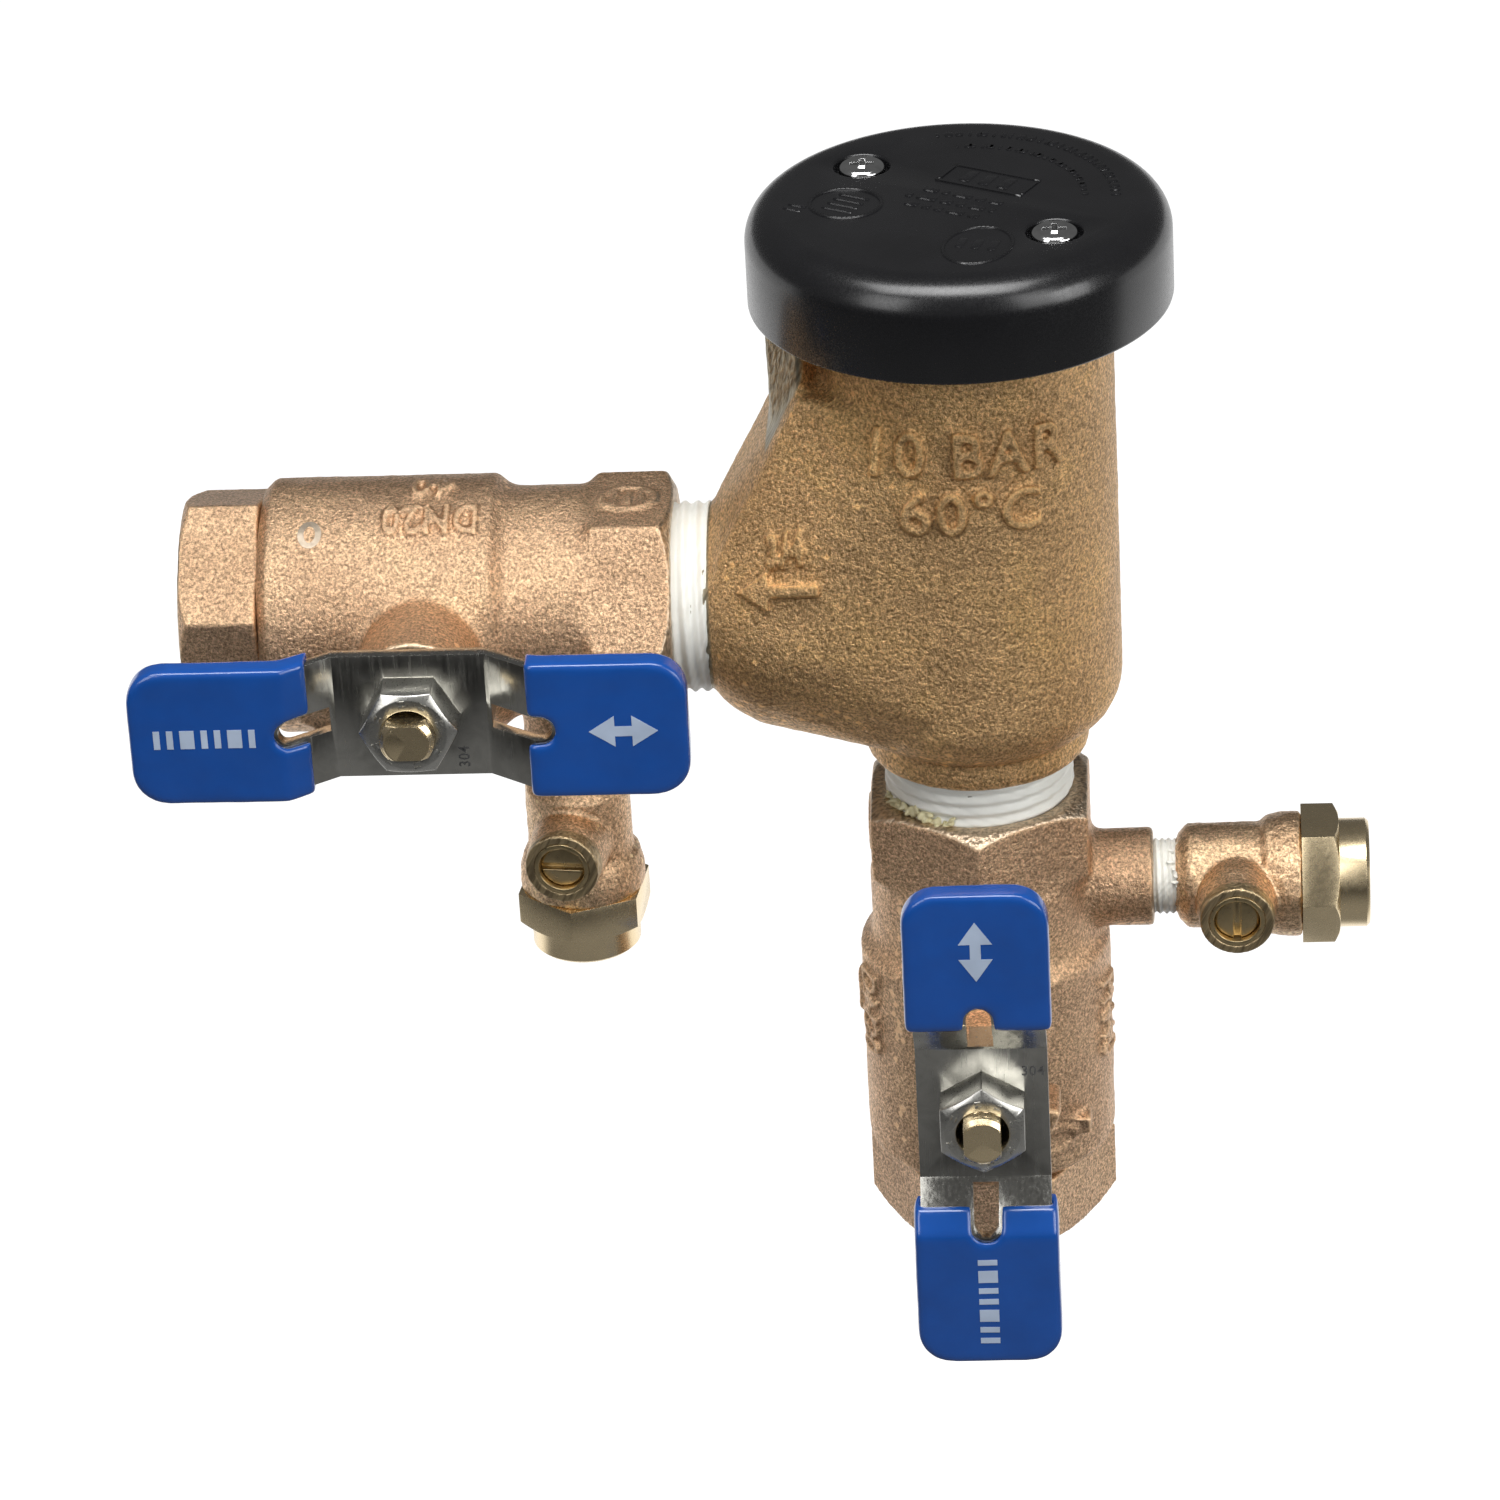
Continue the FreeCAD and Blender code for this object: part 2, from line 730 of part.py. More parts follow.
def make_bonnet(doc):
    """The bonnet: a threaded ring with the air seat below, a stem hub on spokes, and the canopy's posts."""
    bonnet = new_body(doc, "bonnet", BASE)
    groove = "flange_bottom - 1.9"
    outline = [
        ("air_bore", "bonnet_bottom"),
        ("bonnet_thread - 0.9", "bonnet_bottom"),
        ("bonnet_thread - 0.05", "bonnet_bottom + 0.9"),
        ("bonnet_thread - 0.05", groove),
        ("bonnet_thread - 1.6", groove),
        ("bonnet_thread - 1.6", "flange_bottom"),
        ("flange", "flange_bottom"),
        ("flange", "flange_top"),
        ("ring_inside", "flange_top"),
        ("ring_inside", "bonnet_bottom + air_seat_plate"),
        ("air_bore", "bonnet_bottom + air_seat_plate"),
    ]
    turn_outline(bonnet, outline)
    turn_outline(bonnet, box("air_stem + pin_gap", "hub_bottom", "hub", "tube_top"))
    arms(bonnet, "hub - 0.6", "ring_inside + 0.5", "arm_width", "spoke_bottom", "tube_top - spoke_bottom", turn=30.0)
    posts = [(across, up, "post") for across, up in post_centres()]
    raise_circles(bonnet, posts, "flange_top", "post_top - flange_top")
    pilots = [(across, up, "screw_pilot") for across, up in post_centres()]
    raise_circles(bonnet, pilots, "post_top - screw_pilot_depth", "screw_pilot_depth + 1", kind="Pocket")
    ring = make_ring(doc, "bonnet_o_ring", BASE, "bonnet_thread - 0.8", "0.77", "flange_bottom - 0.95")
    return [bonnet, ring]


def make_canopy(doc):
    """The plastic canopy: an open cap that sheds water and lets air in under its skirt."""
    canopy = new_body(doc, "canopy", BASE)
    turn_outline(canopy, box("0", "canopy_rim", "canopy", "canopy_top"))
    dress_edges(canopy, "Fillet", "canopy_round", circle_at(SIZES["canopy_top"], SIZES["canopy"]))
    inside = [
        ("0", "canopy_rim - 1"),
        ("canopy - canopy_wall", "canopy_rim - 1"),
        ("canopy - canopy_wall", "canopy_top - canopy_round"),
        ("canopy - canopy_wall - 2.5", "canopy_top - canopy_wall"),
        ("0", "canopy_top - canopy_wall"),
    ]
    turn_outline(canopy, inside, kind="Groove")
    bosses = [(across, up, "post") for across, up in post_centres()]
    raise_circles(canopy, bosses, "post_top", "canopy_top - canopy_wall - post_top + 0.2")
    holes = [(across, up, "canopy_hole") for across, up in post_centres()]
    raise_circles(canopy, holes, "post_top - 1", "canopy_top - post_top + 2", kind="Pocket")
    recesses = [(across, up, "head_recess") for across, up in post_centres()]
    raise_circles(canopy, recesses, "canopy_top - head_recess_depth", "head_recess_depth + 1", kind="Pocket")
    return canopy


def make_canopy_screws(doc):
    """Two pan-head screws with cross recesses, as two solids of one node."""
    screws = new_body(doc, "canopy_screws", BASE)
    seat = "canopy_top - head_recess_depth"
    top = f"{seat} + screw_head_height"
    heads = [(across, up, "screw_head") for across, up in post_centres()]
    raise_circles(screws, heads, seat, "screw_head_height")
    rim = value(screws, top)
    dress_edges(screws, "Fillet", "0.9", lambda edge: abs(edge.CenterOfMass.z - rim) < 0.01)
    shanks = [(across, up, "screw_shank") for across, up in post_centres()]
    raise_circles(screws, shanks, f"{seat} - screw_length", "screw_length")
    for across, up in post_centres():
        for half_x, half_y in (("drive_reach", "drive_width / 2"), ("drive_width / 2", "drive_reach")):
            corners = box(
                f"{across} - {half_x}", f"{up} - {half_y}", f"{across} + {half_x}", f"{up} + {half_y}"
            )
            raise_outline(screws, corners, f"{top} - drive_depth", "drive_depth + 1", kind="Pocket")
    return screws


def make_pipe_tapes(doc):
    """The PTFE tape that shows on the two male threads."""
    inlet = new_body(doc, "inlet_thread_tape", BASE)
    outer = "pipe_crest + tape_thickness"
    turn_outline(inlet, box("pipe_crest", "valve_length", outer, "neck_bottom - 0.05"))
    outlet = new_body(doc, "outlet_thread_tape", Frame("valve_length - outlet_mouth", "0", "outlet_axis", ALONG_X))
    gap = "outlet_mouth - valve_length - branch_face - 0.05"
    turn_outline(outlet, box("pipe_crest", "0", outer, gap))
    return [inlet, outlet]


# ---------------------------------------------------------------- the shutoff valves


def make_valve_body(doc, label, frame):
    """The tapped valve body: hexagon and mouth at the top, neck, round, and the stem and tap bosses."""
    body = new_body(doc, label, frame)
    outline = [
        ("0", "adapter_hex + 0.05"),
        ("valve_round - valve_round_edge", "adapter_hex + 0.05"),
        ("valve_round", "adapter_hex + valve_round_edge"),
        ("valve_round", "valve_neck_start - 2"),
        ("valve_neck", "valve_neck_start"),
        ("valve_neck", "valve_hex_start"),
        ("0", "valve_hex_start"),
    ]
    turn_outline(body, outline)
    corners = hexagon("valve_flats", turn=90.0)
    raise_outline(body, corners, "valve_hex_start", "valve_length - valve_hex_start")
    bevel_hexagon(body, "valve_flats", "valve_length", -1)
    bevel_hexagon(body, "valve_flats", "valve_hex_start", 1)
    raise_circles(body, [("0", "valve_stem", "stem_boss")], "0", "stem_boss_reach", role="XZ_Plane")
    raise_circles(body, [("0", "valve_tap", "tap_boss")], "0", "tap_boss_reach", role="YZ_Plane")
    add_handle_stop(body)
    cut_waterway(body)
    cut_stem_bore(body)
    tap_depth = "tap_boss_reach - tap_thread_depth"
    tap = [("0", "valve_tap", "tap_pitch")]
    raise_circles(body, tap, tap_depth, "tap_thread_depth + 1", kind="Pocket", role="YZ_Plane")
    raise_circles(body, [("0", "valve_tap", "tap_bore")], "1", "tap_boss_reach", kind="Pocket", role="YZ_Plane")
    return body


def add_handle_stop(body):
    """A quarter of a flange round the stem boss, that the handle's two tabs meet at each limit, and a cast lug."""
    lug = box("8", "lug_bottom", "lug_end", "lug_top")
    raise_outline(body, lug, "6", "lug_front - 6", role="XZ_Plane")
    corners = [("0", "valve_stem")]
    for angle in (-14, -32, -50, -66, -77):
        across = math.cos(math.radians(angle))
        up = math.sin(math.radians(angle))
        corners.append((f"stop_radius * {across:.9f}", f"valve_stem + stop_radius * {up:.9f}"))
    raise_outline(body, corners, "stop_back", "stop_front - stop_back", role="XZ_Plane")


def cut_waterway(body):
    """The bores along the valve's axis, from the end adapter's thread to the mouth."""
    outline = [
        ("0", "0"),
        ("adapter_thread", "0"),
        ("adapter_thread", "adapter_end + 0.1"),
        ("cavity", "adapter_end + 0.1"),
        ("cavity", "valve_stem + seat_front"),
        ("seat_rim + 0.05", "valve_stem + seat_front"),
        ("seat_rim + 0.05", "valve_stem + seat_back"),
        ("pipe_bore + 0.1", "valve_stem + seat_back"),
        ("pipe_bore + 0.1", "valve_length - pipe_thread_depth"),
        ("pipe_pitch", "valve_length - pipe_thread_depth"),
        ("pipe_pitch", "valve_length - mouth_bevel"),
        ("pipe_pitch + mouth_bevel", "valve_length"),
        ("pipe_pitch + mouth_bevel", "valve_length + 1"),
        ("0", "valve_length + 1"),
    ]
    turn_outline(body, outline, kind="Groove")


def cut_stem_bore(body):
    """The stem's bore: collar recess inside, guide, packing chamber and gland thread outside."""
    outline = [
        ("-10", "0"),
        ("-1 * stem_boss_reach - 2", "0"),
        ("-1 * stem_boss_reach - 2", "gland_head + 0.3"),
        ("-1 * stem_boss_reach", "gland_head + 0.3"),
        ("-1 * stem_boss_reach", "gland_thread"),
        ("-1 * packing_start", "gland_thread"),
        ("-1 * packing_start", "stem_shaft + stem_clearance"),
        ("-1 * washer_end", "stem_shaft + stem_clearance"),
        ("-1 * washer_end", "collar + 0.2"),
        ("-10", "collar + 0.2"),
    ]
    turn_outline(body, outline, kind="Groove", role="YZ_Plane", axis="H_Axis", offset=("0", "valve_stem", "0"))


def make_end_adapter(doc, label, frame, turn):
    """The screwed end: a hexagon with the free pipe port, and a thread that holds the second seat."""
    adapter = new_body(doc, label, frame)
    raise_outline(adapter, hexagon("valve_flats", turn=turn), "0", "adapter_hex")
    bevel_hexagon(adapter, "valve_flats", "0", 1)
    turn_outline(adapter, box("0", "adapter_hex - 1", "adapter_thread", "adapter_end"))
    seat = "valve_stem - seat_back"
    outline = [
        ("0", "-1"),
        ("pipe_root + port_bevel", "-1"),
        ("pipe_root + port_bevel", "0"),
        ("pipe_root", "port_bevel"),
        ("pipe_root", "pipe_thread_depth"),
        ("pipe_bore + 0.1", "pipe_thread_depth"),
        ("pipe_bore + 0.1", seat),
        ("seat_rim + 0.05", seat),
        ("seat_rim + 0.05", "adapter_end + 1"),
        ("0", "adapter_end + 1"),
    ]
    turn_outline(adapter, outline, kind="Groove")
    return adapter


def make_stem(doc, label, frame):
    """The stem, drawn along Z from the ball's centre: tang, collar, shaft, and a thread with two flats."""
    stem = new_body(doc, label, frame)
    outline = [
        ("0", "collar_start"),
        ("collar", "collar_start"),
        ("collar", "collar_end"),
        ("stem_shaft", "collar_end"),
        ("stem_shaft", "gland_end"),
        ("stem_thread", "gland_end + 0.2"),
        ("stem_thread", "stem_tip - 0.6"),
        ("stem_thread - 0.6", "stem_tip"),
        ("0", "stem_tip"),
    ]
    turn_outline(stem, outline)
    tang = box("-1 * tang_half", "-0.5 * tang_width", "tang_half", "0.5 * tang_width")
    raise_outline(stem, tang, "tang_tip", "collar_start - tang_tip + 0.5")
    for side in ("-1", "1"):
        flat = box(f"{side} * stem_flats", "-1 * stem_shaft - 1", f"{side} * (stem_shaft + 1)", "stem_shaft + 1")
        raise_outline(stem, flat, "gland_end", "stem_tip - gland_end + 1", kind="Pocket")
    return stem


def make_stem_seals(doc, prefix, frame):
    """The thrust washer, the packing rings and the gland nut round the stem."""
    bore = "stem_shaft + stem_clearance"
    washer = new_body(doc, prefix + "thrust_washer", frame)
    turn_outline(washer, box(bore, "collar_end + 0.02", "collar", "washer_end"))
    packing = new_body(doc, prefix + "stem_packing", frame)
    turn_outline(packing, box(bore, "packing_start", "gland_thread", "packing_end"))
    gland = new_body(doc, prefix + "gland_nut", frame)
    outline = [
        (bore, "packing_end"),
        ("gland_thread", "packing_end"),
        ("gland_thread", "stem_boss_reach"),
        ("gland_head", "stem_boss_reach"),
        ("gland_head", "gland_end - 0.5"),
        ("gland_head - 0.5", "gland_end"),
        (bore, "gland_end"),
    ]
    turn_outline(gland, outline)
    slot = box("-1 * gland_head - 1", "-0.8", "gland_head + 1", "0.8")
    raise_outline(gland, slot, "gland_end - 1", "2", kind="Pocket")
    return [washer, packing, gland]


def arm_side(side, inner, outer, start):
    """One arm's side view from a distance along it: back and front lines, as corners along and outward."""
    slope = "arm_step / (bend_end - bend_start)"
    return [
        (f"{side} * ({start})", f"{inner} + (({start}) - bend_start) * {slope}"),
        (f"{side} * bend_end", f"{inner} + arm_step"),
        (f"{side} * arm_length", f"{inner} + arm_step"),
        (f"{side} * arm_length", f"{outer} + arm_step"),
        (f"{side} * bend_end", f"{outer} + arm_step"),
        (f"{side} * ({start})", f"{outer} + (({start}) - bend_start) * {slope}"),
    ]


def cut_slot(body, side, half, end, back):
    """The slot along an arm that its tab was lanced from, with a round outer end."""
    slot = box(f"-1 * {half}", f"{side} * slot_start", half, f"{side} * ({end} - {half})")
    raise_outline(body, slot, back, "arm_step + 6", kind="Pocket")
    raise_circles(body, [("0", f"{side} * ({end} - {half})", half)], back, "arm_step + 6", kind="Pocket")


def make_handle(doc, label, frame):
    """The bent steel handle, drawn in the stem's frame: length along Y, width along X, outward along Z."""
    handle = new_body(doc, label, frame)
    plate = [("-1 * bend_start", "plate_back"), ("bend_start", "plate_back")]
    right = arm_side("1", "plate_back", "plate_front", "bend_start")
    left = arm_side("-1", "plate_back", "plate_front", "bend_start")
    outline = plate[1:] + right[1:5] + [("bend_start", "plate_front"), ("-1 * bend_start", "plate_front")]
    outline = plate[:1] + outline + left[4:0:-1]
    raise_outline(handle, outline, "-0.5 * plate_width", "plate_width", role="YZ_Plane")
    tip = SIZES["arm_length"] - 0.1
    outward = FreeCAD.Vector(0, 0, 1)
    dress_edges(handle, "Fillet", "arm_corner", line_along(outward, lambda middle: abs(middle.y) > tip))
    for side in ("1", "-1"):
        tab = box("-0.47 * slot_width", f"{side} * tab_start", "0.47 * slot_width", f"{side} * slot_start")
        raise_outline(handle, tab, "tab_tip", "plate_front - tab_tip - 1")
        cut_slot(handle, side, "0.5 * slot_width", "slot_end", "plate_back - 1")
    raise_circles(handle, [("0", "0", "stem_thread + 0.05")], "plate_back - 1", "4", kind="Pocket")
    for side in ("-1", "1"):
        flat = box(f"{side} * (stem_flats + 0.05)", "-2.8", f"{side} * (stem_thread + 0.1)", "2.8")
        raise_outline(handle, flat, "plate_back", "plate_front - plate_back")
    return handle


def make_grips(doc, label, frame, handle):
    """The vinyl sleeves dipped over the handle's two arms, cut to the handle they cover."""
    sleeves = new_body(doc, label + "_outside", frame)
    skin = "grip_skin * 1.22"
    for side, start in (("1", "grip_short_start"), ("-1", "grip_long_start")):
        slope = "arm_step / (bend_end - bend_start)"
        far = f"{side} * (arm_length + grip_skin)"
        near = f"{side} * ({start})"
        rise = f"(({start}) - bend_start) * {slope}"
        corners = [
            (near, f"plate_back + {rise} - {skin}"),
            (f"{side} * (bend_end + 0.31)", "plate_back + arm_step - grip_skin"),
            (far, "plate_back + arm_step - grip_skin"),
            (far, "plate_front + arm_step + grip_skin"),
            (f"{side} * (bend_end - 0.31)", "plate_front + arm_step + grip_skin"),
            (near, f"plate_front + {rise} + {skin}"),
        ]
        raise_outline(
            sleeves, corners, "-0.5 * plate_width - grip_skin", "plate_width + 2 * grip_skin", role="YZ_Plane"
        )
    tip = SIZES["arm_length"] + SIZES["grip_skin"] - 0.1
    outward = FreeCAD.Vector(0, 0, 1)
    dress_edges(sleeves, "Fillet", "arm_corner + grip_skin", line_along(outward, lambda middle: abs(middle.y) > tip))
    for side in ("1", "-1"):
        cut_slot(sleeves, side, "0.4 * slot_width", "(slot_end - 0.4)", "plate_back - 2")
    grips = doc.addObject("Part::Cut", label)
    grips.Label = label
    grips.Base = sleeves
    grips.Tool = handle
    return grips


def make_handle_nut(doc, label, frame):
    nut = new_body(doc, label, frame)
    raise_outline(nut, hexagon("nut_flats", turn=90.0), "plate_front", "nut_front - plate_front")
    bevel_hexagon(nut, "nut_flats", "nut_front", -1)
    raise_circles(nut, [("0", "0", "stem_thread")], "plate_front - 1", "nut_front - plate_front + 2", kind="Pocket")
    return nut


def make_valve(doc, prefix, frame, stem_frame, adapter_turn):
    """One complete shutoff valve: its pieces along the pipe, and those along the stem."""
    ball_slot = {"width": "tang_width + 0.2", "bottom": "tang_tip - 0.3"}
    seats = {"front": "seat_front", "back": "seat_back", "bore": "seat_bore", "rim": "seat_rim", "ball": "ball"}
    ball_frame = Frame(stem_frame.x, stem_frame.y, stem_frame.z, frame.rotation)
    handle = make_handle(doc, prefix + "handle", stem_frame)
    pieces = [
        make_valve_body(doc, prefix + "valve_body", frame),
        make_end_adapter(doc, prefix + "end_adapter", frame, adapter_turn),
        make_ball(doc, prefix + "ball", ball_frame, "ball", "pipe_bore", ball_slot),
        make_seats(doc, prefix + "ball_seats", ball_frame, seats),
        make_stem(doc, prefix + "stem", stem_frame),
        handle,
        make_grips(doc, prefix + "handle_grips", stem_frame, handle),
        make_handle_nut(doc, prefix + "handle_nut", stem_frame),
    ]
    return pieces + make_stem_seals(doc, prefix, stem_frame)


# ---------------------------------------------------------------- the test cocks


def make_cock_body(doc, label, frame):
    """The cast cock body, drawn along Z from the valve's axis: male thread, steps, and the stem boss."""
    body = new_body(doc, label, frame)
    outline = [
        ("0", "tap_boss_reach - tap_thread_depth + 0.3"),
        ("tap_pitch", "tap_boss_reach - tap_thread_depth + 0.3"),
        ("tap_pitch", "tap_boss_reach"),
        ("tap_crest", "tap_boss_reach"),
        ("tap_crest", "cock_start"),
        ("cock_small - 1.6", "cock_start"),
        ("cock_small", "cock_start + 1.6"),
        ("cock_small", "cock_step - 0.5"),
        ("cock_middle", "cock_step + 0.5"),
        ("cock_large", "cock_flare"),
        ("cock_large", "cock_hex_start - 0.05"),
        ("0", "cock_hex_start - 0.05"),
    ]
    turn_outline(body, outline)
    stem_axis = ("0", "cock_ball_centre", "0")
    boss = [
        ("0", "0"),
        ("0", "cock_boss + 0.7"),
        ("-0.7 * cock_boss_face", "cock_boss + 0.4"),
        ("-1 * cock_boss_face", "cock_boss"),
        ("-1 * cock_boss_face", "0"),
    ]
    turn_outline(body, boss, role="YZ_Plane", axis="H_Axis", offset=stem_axis)
    waterway = [
        ("0", "0"),
        ("tap_bore", "0"),
        ("tap_bore", "cock_ball_centre - cock_seat_back"),
        ("cock_seat_rim + 0.05", "cock_ball_centre - cock_seat_back"),
        ("cock_seat_rim + 0.05", "cock_ball_centre - cock_seat_front"),
        ("cock_cavity", "cock_ball_centre - cock_seat_front"),
        ("cock_cavity", "cock_ball_centre + cock_seat_front"),
        ("cock_thread", "cock_ball_centre + cock_seat_front"),
        ("cock_thread", "cock_hex_start + 1"),
        ("0", "cock_hex_start + 1"),
    ]
    turn_outline(body, waterway, kind="Groove")
    stem_bore = [
        ("-3", "0"),
        ("-1 * cock_boss_face - 1", "0"),
        ("-1 * cock_boss_face - 1", "cock_stem + 0.7"),
        ("-1 * cock_ring_start", "cock_stem + 0.7"),
        ("-1 * cock_ring_start", "cock_stem + stem_clearance"),
        ("-3", "cock_stem + stem_clearance"),
    ]
    turn_outline(body, stem_bore, kind="Groove", role="YZ_Plane", axis="H_Axis", offset=stem_axis)
    return body


def make_cock_end(doc, label, frame):
    """The brass end piece: a thread that holds the outer seat, a hexagon, and a stub with the test port."""
    end = new_body(doc, label, frame)
    raise_outline(end, hexagon("cock_flats", turn=90.0), "cock_hex_start", "cock_hex_end - cock_hex_start")
    bevel_hexagon(end, "cock_flats", "cock_hex_end", -1)
    seat_end = "cock_ball_centre + cock_seat_back"
    turn_outline(end, box("0", "cock_thread_start - 2", "cock_thread", "cock_hex_start + 0.5"))
    stub = [
        ("0", "cock_hex_end - 0.5"),
        ("cock_stub", "cock_hex_end - 0.5"),
        ("cock_stub", "cock_end - 0.5"),
        ("cock_stub - 0.5", "cock_end"),
        ("0", "cock_end"),
    ]
    turn_outline(end, stub)
    bore = [
        ("0", "cock_thread_start - 3"),
        ("cock_seat_rim + 0.05", "cock_thread_start - 3"),
        ("cock_seat_rim + 0.05", seat_end),
        ("tap_bore", seat_end),
        ("tap_bore", "cock_end - tap_thread_depth"),
        ("tap_root", "cock_end - tap_thread_depth"),
        ("tap_root", "cock_end - 0.7"),
        ("tap_root + 0.7", "cock_end"),
        ("tap_root + 0.7", "cock_end + 1"),
        ("0", "cock_end + 1"),
    ]
    turn_outline(end, bore, kind="Groove")
    return end


def make_cock_stem(doc, label, frame):
    """The slotted stem, drawn outward along Z from the cock's ball."""
    stem = new_body(doc, label, frame)
    outline = [
        ("0", "cock_stem_start"),
        ("cock_stem", "cock_stem_start"),
        ("cock_stem", "7.2"),
        ("cock_stem - 0.9", "7.2"),
        ("cock_stem - 0.9", "9"),
        ("cock_stem", "9"),
        ("cock_stem", "cock_stem_face - 0.4"),
        ("cock_stem - 0.4", "cock_stem_face"),
        ("0", "cock_stem_face"),
    ]
    turn_outline(stem, outline)
    tang = box("-0.5 * cock_tang_width", "-1 * cock_tang_half", "0.5 * cock_tang_width", "cock_tang_half")
    raise_outline(stem, tang, "cock_tang_tip", "cock_stem_start - cock_tang_tip + 0.2")
    slot = box("-1 * cock_stem - 1", "-0.5 * cock_slot_width", "cock_stem + 1", "0.5 * cock_slot_width")
    raise_outline(stem, slot, "cock_stem_face - cock_slot_depth", "cock_slot_depth + 1", kind="Pocket")
    return stem


def make_cock(doc, prefix, frame, stem_frame):
    """One complete test cock. Its ball's bore lies across the waterway at rest, so the cock is closed."""
    ball_rotation = frame.rotation.multiply(FreeCAD.Rotation(FreeCAD.Vector(0, 1, 0), 90))
    seats = {
        "front": "cock_seat_front",
        "back": "cock_seat_back",
        "bore": "cock_seat_bore",
        "rim": "cock_seat_rim",
        "ball": "cock_ball",
    }
    seat_frame = Frame(stem_frame.x, stem_frame.y, stem_frame.z, frame.rotation)
    ball_frame = Frame(stem_frame.x, stem_frame.y, stem_frame.z, ball_rotation)
    slot = {"width": "cock_tang_width + 0.1", "bottom": "cock_tang_tip - 0.2"}
    ring = new_body(doc, prefix + "stem_ring", stem_frame)
    turn_outline(ring, box("cock_stem + 0.02", "cock_ring_start", "cock_stem + 0.7", "cock_boss_face"))
    tape = new_body(doc, prefix + "thread_tape", frame)
    turn_outline(tape, box("tap_crest", "tap_boss_reach", "tap_crest + tape_thickness", "cock_start - 0.05"))
    return [
        make_cock_body(doc, prefix + "body", frame),
        make_cock_end(doc, prefix + "end_piece", frame),
        make_ball(doc, prefix + "ball", ball_frame, "cock_ball", "tap_bore", slot),
        make_seats(doc, prefix + "ball_seats", seat_frame, seats),
        make_cock_stem(doc, prefix + "stem", stem_frame),
        make_ring(doc, prefix + "stem_o_ring", stem_frame, "cock_stem - 0.45", "0.43", "8.1"),
        ring,
        tape,
    ]


# ---------------------------------------------------------------- assembly, checks and files


def build(doc):
    """Every sub-part of the assembly, in a list."""
    parts = [make_pvb_body(doc), make_poppet_guide(doc), make_canopy(doc), make_canopy_screws(doc)]
    parts += make_check(doc)
    parts += make_air_inlet(doc)
    parts += make_bonnet(doc)
    parts += make_pipe_tapes(doc)

    inlet_stem = Frame("0", "0", "valve_stem", TOWARDS_FRONT)
    parts += make_valve(doc, "inlet_", BASE, inlet_stem, adapter_turn=0.0)
    outlet = Frame("-1 * outlet_mouth", "0", "outlet_axis", ALONG_X)
    outlet_stem = Frame("valve_stem - outlet_mouth", "0", "outlet_axis", ALONG_X.multiply(TOWARDS_FRONT))
    parts += make_valve(doc, "outlet_", outlet, outlet_stem, adapter_turn=11.0)

    inlet_cock = Frame("0", "0", "valve_tap", ALONG_X)
    inlet_cock_stem = Frame("cock_ball_centre", "0", "valve_tap", ALONG_X.multiply(TOWARDS_FRONT))
    parts += make_cock(doc, "inlet_cock_", inlet_cock, inlet_cock_stem)
    turned = FreeCAD.Rotation(ABOUT_Z, OUTLET_COCK_TURN).multiply(DOWNWARD)
    outlet_cock = Frame("valve_tap - outlet_mouth", "0", "outlet_axis", turned)
    outlet_cock_stem = Frame(
        "valve_tap - outlet_mouth", "0", "outlet_axis - cock_ball_centre", turned.multiply(TOWARDS_FRONT)
    )
    parts += make_cock(doc, "outlet_cock_", outlet_cock, outlet_cock_stem)
    return parts


def check_document(doc, parts):
    """Stop if any object has failed or any sub-part has no valid solid."""
    doc.recompute()
    failed = [item.Name for item in doc.Objects if {"Invalid", "Error"} & set(item.State)]
    if failed:
        raise RuntimeError("objects failed to compute: " + ", ".join(failed))
    for part in parts:
        shape = part.Shape
        if shape.isNull() or not shape.isValid() or not shape.Solids:
            raise RuntimeError(part.Label + " has no valid solid")


def export(parts):
    os.makedirs("parts", exist_ok=True)
    for part in parts:
        part.Shape.exportStep(os.path.join("parts", part.Label + ".step"))
        print(f"{part.Label}: {len(part.Shape.Solids)} solid(s), {part.Shape.Volume:.1f} mm3")


def main():
    doc = FreeCAD.newDocument("backflow_preventer")
    make_sheet(doc)
    parts = build(doc)
    check_document(doc, parts)
    export(parts)


main()
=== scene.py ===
import json
import math

import bmesh
import bpy
import numpy as np
from mathutils import Matrix, Vector
from mathutils.bvhtree import BVHTree


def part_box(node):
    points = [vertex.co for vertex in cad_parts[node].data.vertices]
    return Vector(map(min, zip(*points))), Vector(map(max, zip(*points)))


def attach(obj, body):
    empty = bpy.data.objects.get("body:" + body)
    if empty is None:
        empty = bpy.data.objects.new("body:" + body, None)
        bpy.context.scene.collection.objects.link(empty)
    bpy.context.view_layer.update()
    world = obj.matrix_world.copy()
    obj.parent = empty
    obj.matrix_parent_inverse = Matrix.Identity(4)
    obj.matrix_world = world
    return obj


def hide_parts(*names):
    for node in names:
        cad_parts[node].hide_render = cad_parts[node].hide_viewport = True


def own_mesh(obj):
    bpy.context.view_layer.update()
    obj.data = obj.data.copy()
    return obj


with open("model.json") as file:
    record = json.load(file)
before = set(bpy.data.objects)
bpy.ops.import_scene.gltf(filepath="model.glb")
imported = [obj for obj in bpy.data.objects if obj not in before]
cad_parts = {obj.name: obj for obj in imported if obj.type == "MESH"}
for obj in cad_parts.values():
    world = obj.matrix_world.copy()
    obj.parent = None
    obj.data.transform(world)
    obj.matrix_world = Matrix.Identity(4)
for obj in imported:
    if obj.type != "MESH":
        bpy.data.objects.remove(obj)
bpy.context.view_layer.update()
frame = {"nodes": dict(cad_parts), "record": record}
BODY_OF = {node: body for body, nodes in frame["record"]["behaviour"]["bodies"].items() for node in nodes}
SLOT_OF = {row["node"]: row["material_slot"] for row in frame["record"]["subparts"]}
MM = 0.001
WELD = 5e-6
UP = Vector((0.0, 0.0, 1.0))
